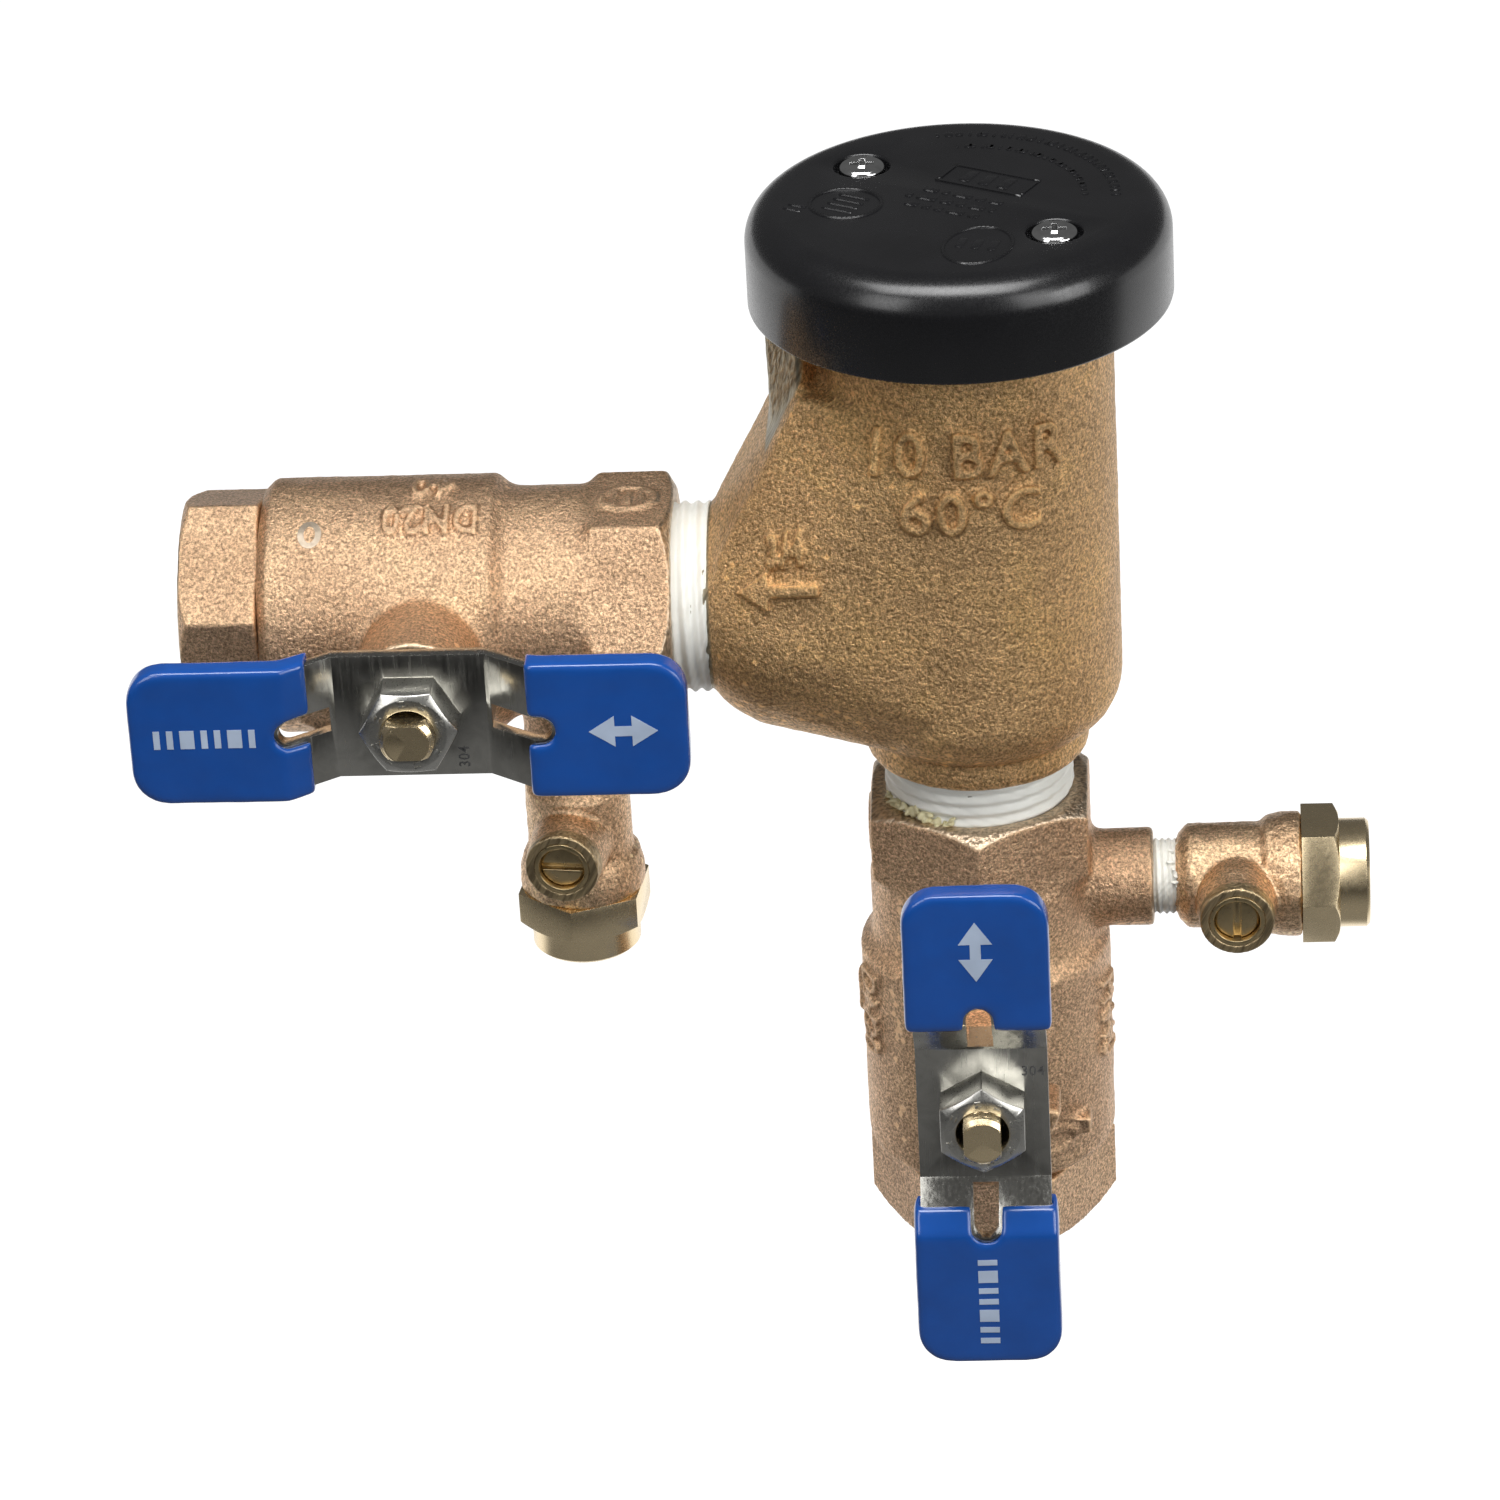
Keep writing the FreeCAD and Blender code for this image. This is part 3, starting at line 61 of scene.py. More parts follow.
RIGHT = Vector((1.0, 0.0, 0.0))

# Sizes in millimetres. A shutoff valve's own frame starts at its end adapter and runs along +Z.
OUTLET_AXIS = 100.87
OUTLET_MOUTH = -111.79
VALVE_STEM = 34.65
VALVE_TAP = 53.45
VALVE_ROUND = 18.2
VALVE_FLAT = 15.7
BODY_ROUND = 21.1
CANOPY_RELIEF = 0.15
# Each arm of a handle, by its side of the stem, with the reach of its slot from the stem's axis.
SLOT_ENDS = ((1, 20.0), (-1, 18.2))

# How far each relaxing step moves a point towards its neighbours' average, for plain smoothing.
SHRINK = (0.5,)
# How wide a soft box shines, in degrees, and the height of the floor, in metres.
LIGHT_SPREAD = 100.0
FLOOR_LEVEL = -0.16
WHITE = (1.0, 1.0, 1.0, 1.0)


# ---------------------------------------------------------------- materials


def new_material(name):
    """A material with its nodes, its links and its Principled shader."""
    material = bpy.data.materials.new(name)
    material.use_nodes = True
    nodes = material.node_tree.nodes
    return material, nodes, material.node_tree.links, nodes["Principled BSDF"]


def scaled(colour, factor):
    """A colour made lighter or darker, within the range from 0 to 1."""
    return tuple(min(1.0, max(0.0, channel * factor)) for channel in colour)


def set_sockets(node, **values):
    """Set input sockets by name, with an underscore for each space."""
    for name, value in values.items():
        node.inputs[name.replace("_", " ")].default_value = value


def coordinates(nodes):
    """Object coordinates, which are the row's own frame in metres."""
    return nodes.new("ShaderNodeTexCoord").outputs["Object"]


def noise(nodes, links, scale, detail=4.0, roughness=0.6, distortion=0.0):
    """A noise texture's output; scale is in repeats per metre."""
    texture = nodes.new("ShaderNodeTexNoise")
    set_sockets(texture, Scale=scale, Detail=detail, Roughness=roughness, Distortion=distortion)
    links.new(coordinates(nodes), texture.inputs["Vector"])
    return texture.outputs["Fac"]


def slanted_noise(nodes, links, scale):
    """Noise drawn out along a slanting line, like the marks of a grinding belt."""
    texture = nodes.new("ShaderNodeTexNoise")
    set_sockets(texture, Scale=scale)
    mapping = nodes.new("ShaderNodeMapping")
    mapping.vector_type = "TEXTURE"
    set_sockets(mapping, Rotation=(0.0, math.radians(28.0), 0.0), Scale=(1.0, 1.0, 14.0))
    links.new(coordinates(nodes), mapping.inputs["Vector"])
    links.new(mapping.outputs["Vector"], texture.inputs["Vector"])
    return texture.outputs["Fac"]


def ramp(nodes, links, source, stops):
    """A colour ramp through stops of (position, colour), where a number stands for a grey."""
    node = nodes.new("ShaderNodeValToRGB")
    while len(node.color_ramp.elements) < len(stops):
        node.color_ramp.elements.new(0.5)
    for element, (position, colour) in zip(node.color_ramp.elements, stops):
        element.position = position
        element.color = (*(colour if isinstance(colour, tuple) else (colour,) * 3), 1.0)
    links.new(source, node.inputs["Fac"])
    return node.outputs["Color"]


def mix(nodes, links, factor, first, second, blend="MIX"):
    """A colour mix. Each colour is a tuple or a node's output, and the factor is a number or an output."""
    node = nodes.new("ShaderNodeMix")
    node.data_type = "RGBA"
    node.blend_type = blend
    if isinstance(factor, float):
        node.inputs["Factor"].default_value = factor
    else:
        links.new(factor, node.inputs["Factor"])
    for socket, value in ((node.inputs[6], first), (node.inputs[7], second)):
        if isinstance(value, tuple):
            socket.default_value = (*value, 1.0)
        else:
            links.new(value, socket)
    return node.outputs[2]


def bump(nodes, links, height, strength, distance, normal=None):
    """A bump from a height output, over an earlier bump's normal where one is given."""
    node = nodes.new("ShaderNodeBump")
    set_sockets(node, Strength=strength, Distance=distance)
    links.new(height, node.inputs["Height"])
    if normal is not None:
        links.new(normal, node.inputs["Normal"])
    return node.outputs["Normal"]


def edge_mask(nodes, links, low, high):
    """White on the rims and raised marks of a mesh, from how its surface bends."""
    geometry = nodes.new("ShaderNodeNewGeometry")
    return ramp(nodes, links, geometry.outputs["Pointiness"], [(low, 0.0), (high, 1.0)])


def cast_metal(name, light, dark, warm, rough, grain, depth, machined=(0.72, 0.57, 0.41)):
    """Sand-cast bronze: a grain of fine bumps, faint patches, a painted highlight on rims and raised marks,
    and machined areas.
    """
    material, nodes, links, shader = new_material(name)
    clouds = noise(nodes, links, 70.0, 4.0, 0.55, 0.3)
    patches = ramp(nodes, links, clouds, [(0.3, dark), (0.5, light), (0.72, warm)])
    sand = noise(nodes, links, grain, 4.0, 0.75)
    speckle = ramp(nodes, links, sand, [(0.36, 0.4), (0.5, 0.86), (0.63, 1.45)])
    colour = mix(nodes, links, 1.0, patches, speckle, "MULTIPLY")
    # Painted highlight: where the surface bends sharply, on rims and raised marks, the colour is made a
    # brighter warm tone.
    painted_rim_highlight = edge_mask(nodes, links, 0.512, 0.58)
    colour = mix(nodes, links, painted_rim_highlight, colour, scaled(warm, 1.3))
    cut = nodes.new("ShaderNodeAttribute")
    cut.attribute_name = "machined"
    cut = cut.outputs["Fac"]
    streaks = slanted_noise(nodes, links, 2000.0)
    tooled = ramp(nodes, links, streaks, [(0.36, scaled(machined, 0.5)), (0.6, machined)])
    links.new(mix(nodes, links, cut, colour, tooled), shader.inputs["Base Color"])
    roughness = ramp(nodes, links, sand, [(0.3, rough + 0.16), (0.66, rough - 0.08)])
    links.new(mix(nodes, links, cut, roughness, (0.42, 0.42, 0.42)), shader.inputs["Roughness"])
    set_sockets(shader, Metallic=1.0)
    coarse = bump(nodes, links, noise(nodes, links, grain * 0.4, 3.0, 0.6), 0.8, depth * 1.4)
    fine = bump(nodes, links, sand, 1.0, depth, coarse)
    blend = nodes.new("ShaderNodeMix")
    blend.data_type = "VECTOR"
    links.new(cut, blend.inputs["Factor"])
    links.new(fine, blend.inputs[4])
    links.new(bump(nodes, links, streaks, 1.0, 0.00025), blend.inputs[5])
    links.new(blend.outputs[1], shader.inputs["Normal"])
    return material


def smooth_metal(
    name, colour, rough, grain=3500.0, depth=0.00002, spread=0.08, tint=0.12, stretch=(1.0, 1.0, 1.0)
):
    """Machined, plated or rolled metal: slight mottling, and fine tool marks along one way."""
    material, nodes, links, shader = new_material(name)
    clouds = noise(nodes, links, 260.0, 5.0, 0.6, 0.6)
    mottled = ramp(nodes, links, clouds, [(0.3, scaled(colour, 1.0 - tint * 2.2)), (0.6, colour)])
    links.new(mottled, shader.inputs["Base Color"])
    texture = nodes.new("ShaderNodeTexNoise")
    set_sockets(texture, Scale=grain, Detail=3.0)
    mapping = nodes.new("ShaderNodeMapping")
    set_sockets(mapping, Scale=stretch)
    links.new(coordinates(nodes), mapping.inputs["Vector"])
    links.new(mapping.outputs["Vector"], texture.inputs["Vector"])
    levels = [(0.3, max(0.02, rough - spread)), (0.7, rough + spread)]
    links.new(ramp(nodes, links, texture.outputs["Fac"], levels), shader.inputs["Roughness"])
    set_sockets(shader, Metallic=1.0)
    links.new(bump(nodes, links, texture.outputs["Fac"], 0.5, depth), shader.inputs["Normal"])
    return material


def plastic(name, colour, rough, grain=2500.0, depth=0.00002, spread=0.05, coat=0.0, tint=0.2, sheen=0.0):
    """Moulded or dipped plastic, rubber and tape."""
    material, nodes, links, shader = new_material(name)
    clouds = noise(nodes, links, 120.0, 4.0, 0.55)
    tone = ramp(nodes, links, clouds, [(0.35, scaled(colour, 1.0 - tint)), (0.65, colour)])
    links.new(tone, shader.inputs["Base Color"])
    surface = noise(nodes, links, grain, 3.0, 0.6)
    levels = [(0.3, max(0.03, rough - spread)), (0.7, rough + spread)]
    links.new(ramp(nodes, links, surface, levels), shader.inputs["Roughness"])
    set_sockets(shader, Coat_Weight=coat, Coat_Roughness=0.12, Sheen_Weight=sheen)
    links.new(bump(nodes, links, surface, 0.4, depth), shader.inputs["Normal"])
    return material


def make_materials():
    """The material of each of the record's slots, by the slot's name."""
    made = (
        cast_metal(
            "body_bronze",
            (0.65, 0.415, 0.20),
            (0.56, 0.355, 0.17),
            (0.75, 0.48, 0.21),
            0.40,
            2100.0,
            0.00034,
            (0.40, 0.35, 0.25),
        ),
        cast_metal(
            "valve_bronze", (0.69, 0.46, 0.285), (0.58, 0.38, 0.23), (0.78, 0.53, 0.32), 0.42, 2300.0, 0.00022
        ),
        cast_metal(
            "cock_brass",
            (0.76, 0.52, 0.32),
            (0.66, 0.44, 0.26),
            (0.84, 0.60, 0.36),
            0.38,
            2300.0,
            0.00016,
            (0.56, 0.43, 0.25),
        ),
        smooth_metal("brass", (0.90, 0.73, 0.46), 0.27, 1400.0, 0.000008, 0.02, 0.03),
        plastic("canopy_plastic", (0.008, 0.008, 0.009), 0.27, depth=0.00001, coat=0.1),
        plastic("inner_plastic", (0.03, 0.03, 0.032), 0.45),
        plastic("rubber", (0.02, 0.02, 0.02), 0.6),
        plastic("ptfe", (0.85, 0.85, 0.82), 0.4),
        plastic("ptfe_tape", (0.86, 0.86, 0.80), 0.42, grain=900.0, depth=0.00012, tint=0.1, sheen=0.1),
        smooth_metal("stainless", (0.50, 0.49, 0.45), 0.22, 2200.0, 0.00001, 0.07, 0.1, (1.0, 1.0, 0.06)),
        smooth_metal("chrome_ball", (0.75, 0.76, 0.78), 0.08, spread=0.04),
        smooth_metal("zinc", (0.58, 0.57, 0.53), 0.3, spread=0.04, tint=0.06),
        plastic("vinyl", (0.008, 0.072, 0.33), 0.2, grain=400.0, depth=0.00004, coat=0.35, tint=0.12),
        smooth_metal("screw_steel", (0.82, 0.82, 0.82), 0.12, spread=0.05),
    )
    # Blender numbers a name that the CAD model's own materials have taken already
    return {material.name.split(".")[0]: material for material in made}


MATERIALS = make_materials()
WHITE_PRINT = plastic("white_print", (0.46, 0.55, 0.70), 0.35, coat=0.2)
DOPE = plastic("pipe_dope", (0.72, 0.66, 0.40), 0.35, coat=0.3)
STAMP = plastic("stamped_line", (0.10, 0.10, 0.10), 0.5)
DULL_BRASS = smooth_metal("dull_brass", (0.58, 0.45, 0.25), 0.32, 1600.0, 0.00003, 0.06, 0.12)
# A dull grey for the ring laid where the outlet valve has a small dimple; the dimple itself is not modelled.
DIMPLE_RING_GREY = smooth_metal("dimple_ring_grey", (0.36, 0.30, 0.23), 0.5, 1800.0, 0.00005, 0.08, 0.15)


# ---------------------------------------------------------------- mesh helpers


def link(piece):
    bpy.context.scene.collection.objects.link(piece)
    return piece


def finish_piece(piece, node, material=None, replaces=True):
    """A piece rides with a CAD node's body, takes its slot, and may stand for the node."""
    piece.data.materials.clear()
    piece.data.materials.append(material or MATERIALS[SLOT_OF[node]])
    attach(piece, BODY_OF[node])
    if replaces:
        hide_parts(node)
    return piece


def to_mesh(work, name):
    """A new mesh with what a bmesh holds, which is freed."""
    mesh = bpy.data.meshes.new(name)
    work.to_mesh(mesh)
    work.free()
    return mesh


def apply_modifiers(piece):
    graph = bpy.context.evaluated_depsgraph_get()
    mesh = bpy.data.meshes.new_from_object(piece.evaluated_get(graph))
    piece.modifiers.clear()
    piece.data = mesh
    return piece


def shade(piece, angle=None):
    """Smooth shading, with edges sharper than the angle left sharp."""
    piece.data.shade_smooth()
    if angle is not None:
        piece.data.set_sharp_from_angle(angle=math.radians(angle))
    return piece


def plain_copy(node, name, merge=False):
    """A copy of a CAD node's mesh with its seams welded, and its flat faces merged if asked."""
    work = bmesh.new()
    work.from_mesh(frame["nodes"][node].data)
    bmesh.ops.remove_doubles(work, verts=work.verts, dist=WELD)
    if merge:
        bmesh.ops.dissolve_limit(work, angle_limit=math.radians(0.6), verts=work.verts, edges=work.edges)
    return link(bpy.data.objects.new(name, to_mesh(work, name)))


def round_edges(piece, width, segments=2, limit=28):
    """Round over the edges that bend by more than the limit."""
    bevel = piece.modifiers.new("bevel", "BEVEL")
    bevel.width = width * MM
    bevel.segments = segments
    bevel.limit_method = "ANGLE"
    bevel.angle_limit = math.radians(limit)
    return apply_modifiers(piece)


def bevelled(node, width, segments=2, limit=28, material=None):
    """A CAD node's copy with its edges rounded over."""
    piece = round_edges(plain_copy(node, node + "_look", merge=True), width, segments, limit)
    shade(piece, 35)
    return finish_piece(piece, node, material)


def tube_faces(rows, columns):
    """The faces of a tube of points, which are listed row by row."""
    faces = []
    for row in range(rows):
        low, high = row * columns, (row + 1) * columns
        for column in range(columns):
            following = (column + 1) % columns
            faces.append((low + column, low + following, high + following, high + column))
    return faces


def mesh_piece(name, vertices, faces):
    """A smooth piece with its faces turned outwards, from points in metres."""
    mesh = bpy.data.meshes.new(name)
    mesh.from_pydata([tuple(point) for point in vertices], [], faces)
    work = bmesh.new()
    work.from_mesh(mesh)
    bmesh.ops.recalc_face_normals(work, faces=work.faces)
    work.to_mesh(mesh)
    work.free()
    mesh.shade_smooth()
    return link(bpy.data.objects.new(name, mesh))


def points_of(mesh):
    """A mesh's points as rows of x, y and z, in metres."""
    flat = np.empty(len(mesh.vertices) * 3, np.float64)
    mesh.vertices.foreach_get("co", flat)
    return flat.reshape(-1, 3)


def normals_of(mesh):
    flat = np.empty(len(mesh.vertices) * 3, np.float32)
    mesh.vertex_normals.foreach_get("vector", flat)
    return flat.reshape(-1, 3).astype(np.float64)


def put_points(mesh, points):
    mesh.vertices.foreach_set("co", np.ascontiguousarray(points, np.float32).ravel())
    mesh.update()


def relax(piece, rounds, weight, factors=(0.5, -0.34)):
    """Smooth a mesh towards its neighbours' average, more where the weight (or its function) is higher."""
    mesh = piece.data
    points = points_of(mesh)
    edges = np.empty(len(mesh.edges) * 2, np.int64)
    mesh.edges.foreach_get("vertices", edges)
    first, second = edges.reshape(-1, 2).T
    count = np.bincount(first, minlength=len(points)) + np.bincount(second, minlength=len(points))
    count = np.maximum(count, 1)
    share = (weight(points / MM) if callable(weight) else np.full(len(points), weight))[:, None]
    for _ in range(rounds):
        for factor in factors:
            total = np.empty_like(points)
            for axis in range(3):
                column = points[:, axis]
                total[:, axis] = np.bincount(first, column[second], len(points))
                total[:, axis] += np.bincount(second, column[first], len(points))
            points += share * factor * (total / count[:, None] - points)
    put_points(mesh, points)


def voxel(piece, size):
    """Remesh a piece into one skin of cells of the given size in mm."""
    remesh = piece.modifiers.new("remesh", "REMESH")
    remesh.mode = "VOXEL"
    remesh.voxel_size = size * MM
    remesh.use_smooth_shade = True
    return apply_modifiers(piece)


def mark_machined(piece, mask):
    """Store how machined each point is, from 0 to 1, for the cast materials."""
    values = mask(points_of(piece.data) / MM)
    attribute = piece.data.attributes.new("machined", "FLOAT", "POINT")
    attribute.data.foreach_set("value", np.ascontiguousarray(values, np.float32))


def roughen(piece, size, depth, weight=None):
    """Raise and sink the surface by clouds of the given size."""
    texture = bpy.data.textures.new(piece.name + "_clouds", "CLOUDS")
    texture.noise_scale = size * MM
    texture.noise_depth = 2
    displace = piece.modifiers.new("displace", "DISPLACE")
    displace.texture = texture
    displace.texture_coords = "LOCAL"
    displace.strength = depth * MM
    displace.mid_level = 0.5
    if weight is not None:
        group = piece.vertex_groups.new(name="rough")
        values = weight(points_of(piece.data) / MM)
        for level in np.unique(np.round(values, 1)):
            chosen = np.flatnonzero(np.round(values, 1) == level)
            group.add(chosen.tolist(), float(level), "REPLACE")
        displace.vertex_group = "rough"
    return apply_modifiers(piece)


def join(target, others):
    """Add the other objects' meshes to the target's mesh, and remove them."""
    work = bmesh.new()
    work.from_mesh(target.data)
    for other in others:
        mesh = other.data
        mesh.transform(other.matrix_world)
        work.from_mesh(mesh)
        bpy.data.objects.remove(other)
    work.to_mesh(target.data)
    work.free()
    return target


# ---------------------------------------------------------------- raised marks


def text_mesh(words, width, height, weight=0.0):
    """Extruded words as a mesh, centred and fitted to a width and height in mm."""
    curve = bpy.data.curves.new("mark", "FONT")
    curve.body = words
    curve.extrude = 0.5
    curve.offset = weight
    curve.space_character = 1.12
    curve.resolution_u = 4
    piece = link(bpy.data.objects.new("mark", curve))
    graph = bpy.context.evaluated_depsgraph_get()
    mesh = bpy.data.meshes.new_from_object(piece.evaluated_get(graph))
    bpy.data.objects.remove(piece)
    return fit_mark(mesh, width, height)


def fit_mark(mesh, width, height):
    """Centre a mark and scale it to a width, a height and one unit's thickness."""
    points = points_of(mesh)
    low, high = points.min(0), points.max(0)
    points -= (low + high) / 2
    points[:, 0] *= width / (high[0] - low[0])
    points[:, 1] *= height / (high[1] - low[1])
    points[:, 2] /= high[2] - low[2]
    put_points(mesh, points)
    return mesh


def outline_mesh(corners):
    """An extruded outline, one unit thick, centred on its own plane."""
    work = bmesh.new()
    front = [work.verts.new((x, y, 0.5)) for x, y in corners]
    back = [work.verts.new((x, y, -0.5)) for x, y in corners]
    work.faces.new(front)
    work.faces.new(back[::-1])
    for index in range(len(corners)):
        following = (index + 1) % len(corners)
        work.faces.new((back[index], back[following], front[following], front[index]))
    bmesh.ops.recalc_face_normals(work, faces=work.faces)
    return to_mesh(work, "outline")


def ring_mesh(width, height, band, count=48):
    """A raised oval ring, one unit thick."""
    work = bmesh.new()
    loops = []
    for inset in (0.0, band):
        for level in (0.5, -0.5):
            loop = []
            for step in range(count):
                angle = 2 * math.pi * step / count
                across = (width / 2 - inset) * math.cos(angle)
                up = (height / 2 - inset) * math.sin(angle)
                loop.append(work.verts.new((across, up, level)))
            loops.append(loop)
    outer_top, outer_low, inner_top, inner_low = loops
    around = (outer_top, outer_low, inner_low, inner_top, outer_top)
    for one, two in zip(around, around[1:]):
        for step in range(count):
            following = (step + 1) % count
            work.faces.new((one[step], two[step], two[following], one[following]))
    bmesh.ops.recalc_face_normals(work, faces=work.faces)
    return to_mesh(work, "ring")


def surface_of(piece):
    """A tree of a piece's faces, which marks are dropped onto."""
    mesh = piece.data
    return BVHTree.FromPolygons(
        [vertex.co.copy() for vertex in mesh.vertices], [tuple(polygon.vertices) for polygon in mesh.polygons]
    )


def wrap_mark(mesh, place, surface, rise, sink=0.8, reach=9.0):
    """Lay a flat mark on a surface, its front raised above it and its back sunk below it, in mm.

    place takes across, up and out in mm and gives points in mm; rays start out by the reach.
    """
    work = bmesh.new()
    work.from_mesh(mesh)
    longest = 0.9
    for _ in range(4):  # four halvings bring the longest edge of any mark below the limit
        edges = [edge for edge in work.edges if edge.calc_length() > longest]
        if not edges:
            break
        bmesh.ops.subdivide_edges(work, edges=edges, cuts=1, use_grid_fill=False)
    bmesh.ops.triangulate(work, faces=work.faces)
    work.to_mesh(mesh)
    work.free()
    points = points_of(mesh)
    across, up = points[:, 0], points[:, 1]
    starts, ends = place(across, up, 0.0 * up), place(across, up, reach + 0.0 * up)
    laid = []
    for level, near, far in zip(points[:, 2], starts, ends):
        way = Vector(near - far).normalized()
        hit = surface.ray_cast(Vector(far) * MM, way)[0]
        base = Vector(near) if hit is None else hit / MM
        laid.append(tuple(base - way * (rise if level > 0 else -sink)))
    put_points(mesh, np.array(laid) * MM)
    return link(bpy.data.objects.new("mark", mesh))


def add_block(work, x, y, width, height):
    """Add a block one unit thick to a bmesh, and return its points."""
    size = Matrix.Diagonal((width, height, 1.0, 1.0))
    return bmesh.ops.create_cube(work, size=1.0, matrix=Matrix.Translation((x, y, 0)) @ size)["verts"]


def bars_mesh(widths, height, gap, taper=0.0):
    """A row of upright bars, centred: plain marks where writing would be. Their fronts narrow by the taper."""
    work = bmesh.new()
    place = -(sum(widths) + gap * (len(widths) - 1)) / 2
    for width in widths:
        middle = place + width / 2
        for vertex in add_block(work, middle, 0.0, width, height):
            if vertex.co.z > 0:
                vertex.co.x += math.copysign(taper, middle - vertex.co.x)
                vertex.co.y -= math.copysign(taper, vertex.co.y)
        place += width + gap
    return to_mesh(work, "bars")


def on_front(centre, turn=0.0):
    """Marks on a face that looks towards -Y; turned anticlockwise as seen, in degrees."""
    cosine, sine = math.cos(math.radians(turn)), math.sin(math.radians(turn))

    def place(across, up, out):
        x = centre[0] + across * cosine - up * sine
        z = centre[2] + across * sine + up * cosine
        return np.stack([x, centre[1] - out, z], 1)

    return place


def on_top(x, y, height, turn=0.0):
    """Marks on a face that looks up, turned anticlockwise as seen from above, in degrees."""
    cosine, sine = math.cos(math.radians(turn)), math.sin(math.radians(turn))

    def place(across, up, out):
        return np.stack([x + across * cosine - up * sine, y + across * sine + up * cosine, height + out], 1)

    return place


def on_upright_cylinder(radius, angle, height):
    """Marks that read round a cylinder about the Z axis; the angle is from -Y towards +X, in degrees."""

    def place(across, up, out):
        turn = math.radians(angle) + across / radius
        return np.stack([(radius + out) * np.sin(turn), -(radius + out) * np.cos(turn), height + up], 1)

    return place


def on_branch(radius, angle, along):
    """Marks on the outlet branch that read towards +X; the angle is from -Y upwards, in degrees."""

    def place(across, up, out):
        turn = math.radians(angle) + up / radius
        return np.stack(
            [along + across, -(radius + out) * np.cos(turn), OUTLET_AXIS + (radius + out) * np.sin(turn)], 1
        )

    return place


def valve_matrix(prefix):
    """From a shutoff valve's own frame, in mm, to the row's."""
    if prefix == "inlet_":
        return np.eye(3), np.zeros(3)
    turn = np.array([[0.0, 0.0, 1.0], [0.0, 1.0, 0.0], [-1.0, 0.0, 0.0]])
    return turn, np.array([OUTLET_MOUTH, 0.0, OUTLET_AXIS])


def on_valve(prefix, radius, angle, along):
    """Marks on a valve's round part that read down its axis; the angle is from -X towards -Y, in degrees."""
    turn, origin = valve_matrix(prefix)

    def place(across, up, out):
        around = math.radians(angle) + up / radius
        local = np.stack(
            [-(radius + out) * np.cos(around), -(radius + out) * np.sin(around), along - across], 1
        )
        return local @ turn.T + origin

    return place


def on_valve_face(prefix, apothem, angle, along, offset=0.0):
    """Marks on a hexagon's flat face; the angle is from -X towards -Y, in degrees."""
    turn, origin = valve_matrix(prefix)
    normal = np.array([-math.cos(math.radians(angle)), -math.sin(math.radians(angle)), 0.0])
    upward = np.array([math.sin(math.radians(angle)), -math.cos(math.radians(angle)), 0.0])

    def place(across, up, out):
        local = np.outer(apothem + out, normal) + np.outer(up + offset, upward)
        local[:, 2] += along - across
        return local @ turn.T + origin

    return place


# ---------------------------------------------------------------- cast pieces


def smoothstep(value, low, high):
    """From 0 at low to 1 at high, smoothly; high may be the smaller."""
    share = np.clip((value - low) / (high - low), 0.0, 1.0)
    return share * share * (3 - 2 * share)


def ring_points(radius, centre, axis, count=72):
    """Points round a circle about the Z or the X axis, in mm."""
    angles = np.arange(count) * 2 * math.pi / count
    one, two = radius * np.cos(angles), radius * np.sin(angles)
    level = np.full(count, centre)
    if axis == "z":
        return np.stack([one, two, level], 1)
    return np.stack([level, one, OUTLET_AXIS + two], 1)


def solid_hull(points):
    """The convex hull of points in mm, as a closed piece."""
    work = bmesh.new()
    for point in points:
        work.verts.new(tuple(point * MM))
    made = bmesh.ops.convex_hull(work, input=work.verts)
    bmesh.ops.delete(work, geom=made["geom_interior"], context="VERTS")
    bmesh.ops.recalc_face_normals(work, faces=work.faces)
    return link(bpy.data.objects.new("hull", to_mesh(work, "hull")))


def boolean_with(piece, tool, operation):
    """Cut a closed piece with a tool, or keep what they share, and remove the tool."""
    boolean = piece.modifiers.new("cut", "BOOLEAN")
    boolean.operation = operation
    boolean.solver = "EXACT"
    boolean.object = tool
    apply_modifiers(piece)
    bpy.data.objects.remove(tool)


def cut_away(piece, points):
    """Take the hull of the points out of a closed piece."""
    boolean_with(piece, solid_hull(points), "DIFFERENCE")


def body_blend():
    """The metal that fills the corners between tube, branch and web, as one smooth casting."""
    half = 12.4
    points = np.concatenate(
        [
            ring_points(20.95, 89.5, "z"),
            ring_points(20.95, 137.3, "z"),
            ring_points(17.6, 82.4, "z"),
            ring_points(14.6, -36.0, "x"),
            ring_points(16.3, -34.0, "x"),
            ring_points(18.1, -30.8, "x"),
            ring_points(19.9, -20.0, "x"),
            np.array([(-x, side * half, z) for side in (1, -1) for x, z in ((35.0, 112.3), (22.9, 137.2))]),
        ]
    )
    piece = solid_hull(points)
    cut_away(piece, np.concatenate([ring_points(18.9, 60.0, "z"), ring_points(18.9, 150.0, "z")]))
    cut_away(piece, np.concatenate([ring_points(12.0, -60.0, "x"), ring_points(12.0, 10.0, "x")]))
    return piece


def body_softness(points):
    """How much each point of the body is smoothed: most on the web's ridges and at the branch's root."""
    x, y, z = points.T
    outside = (np.hypot(x, y) > 18.0) & (np.hypot(y, z - OUTLET_AXIS) > 13.2)
    left = smoothstep(-x, 1.0, 7.0) * smoothstep(-x, 37.5, 34.0) * smoothstep(z, 79.0, 83.0)
    return np.where(outside & (z < 138.2), left, 0.0)


def body_machined(points):
    """The ground gate pad, and the turned threads."""
    x, y, z = points.T
    slope = 112.6 + (35.4 + x) * 1.984 + 0.5
    pad = smoothstep(-x, 21.8, 22.4) * smoothstep(-x, 27.9, 27.6) * smoothstep(z - slope, -0.2, 0.4)
    pad = pad * smoothstep(np.abs(y), 10.9, 10.5)
    neck = smoothstep(z, 76.6, 76.2)
    end = smoothstep(-x, 36.5, 36.9)
    return np.maximum(pad, np.maximum(neck, end))


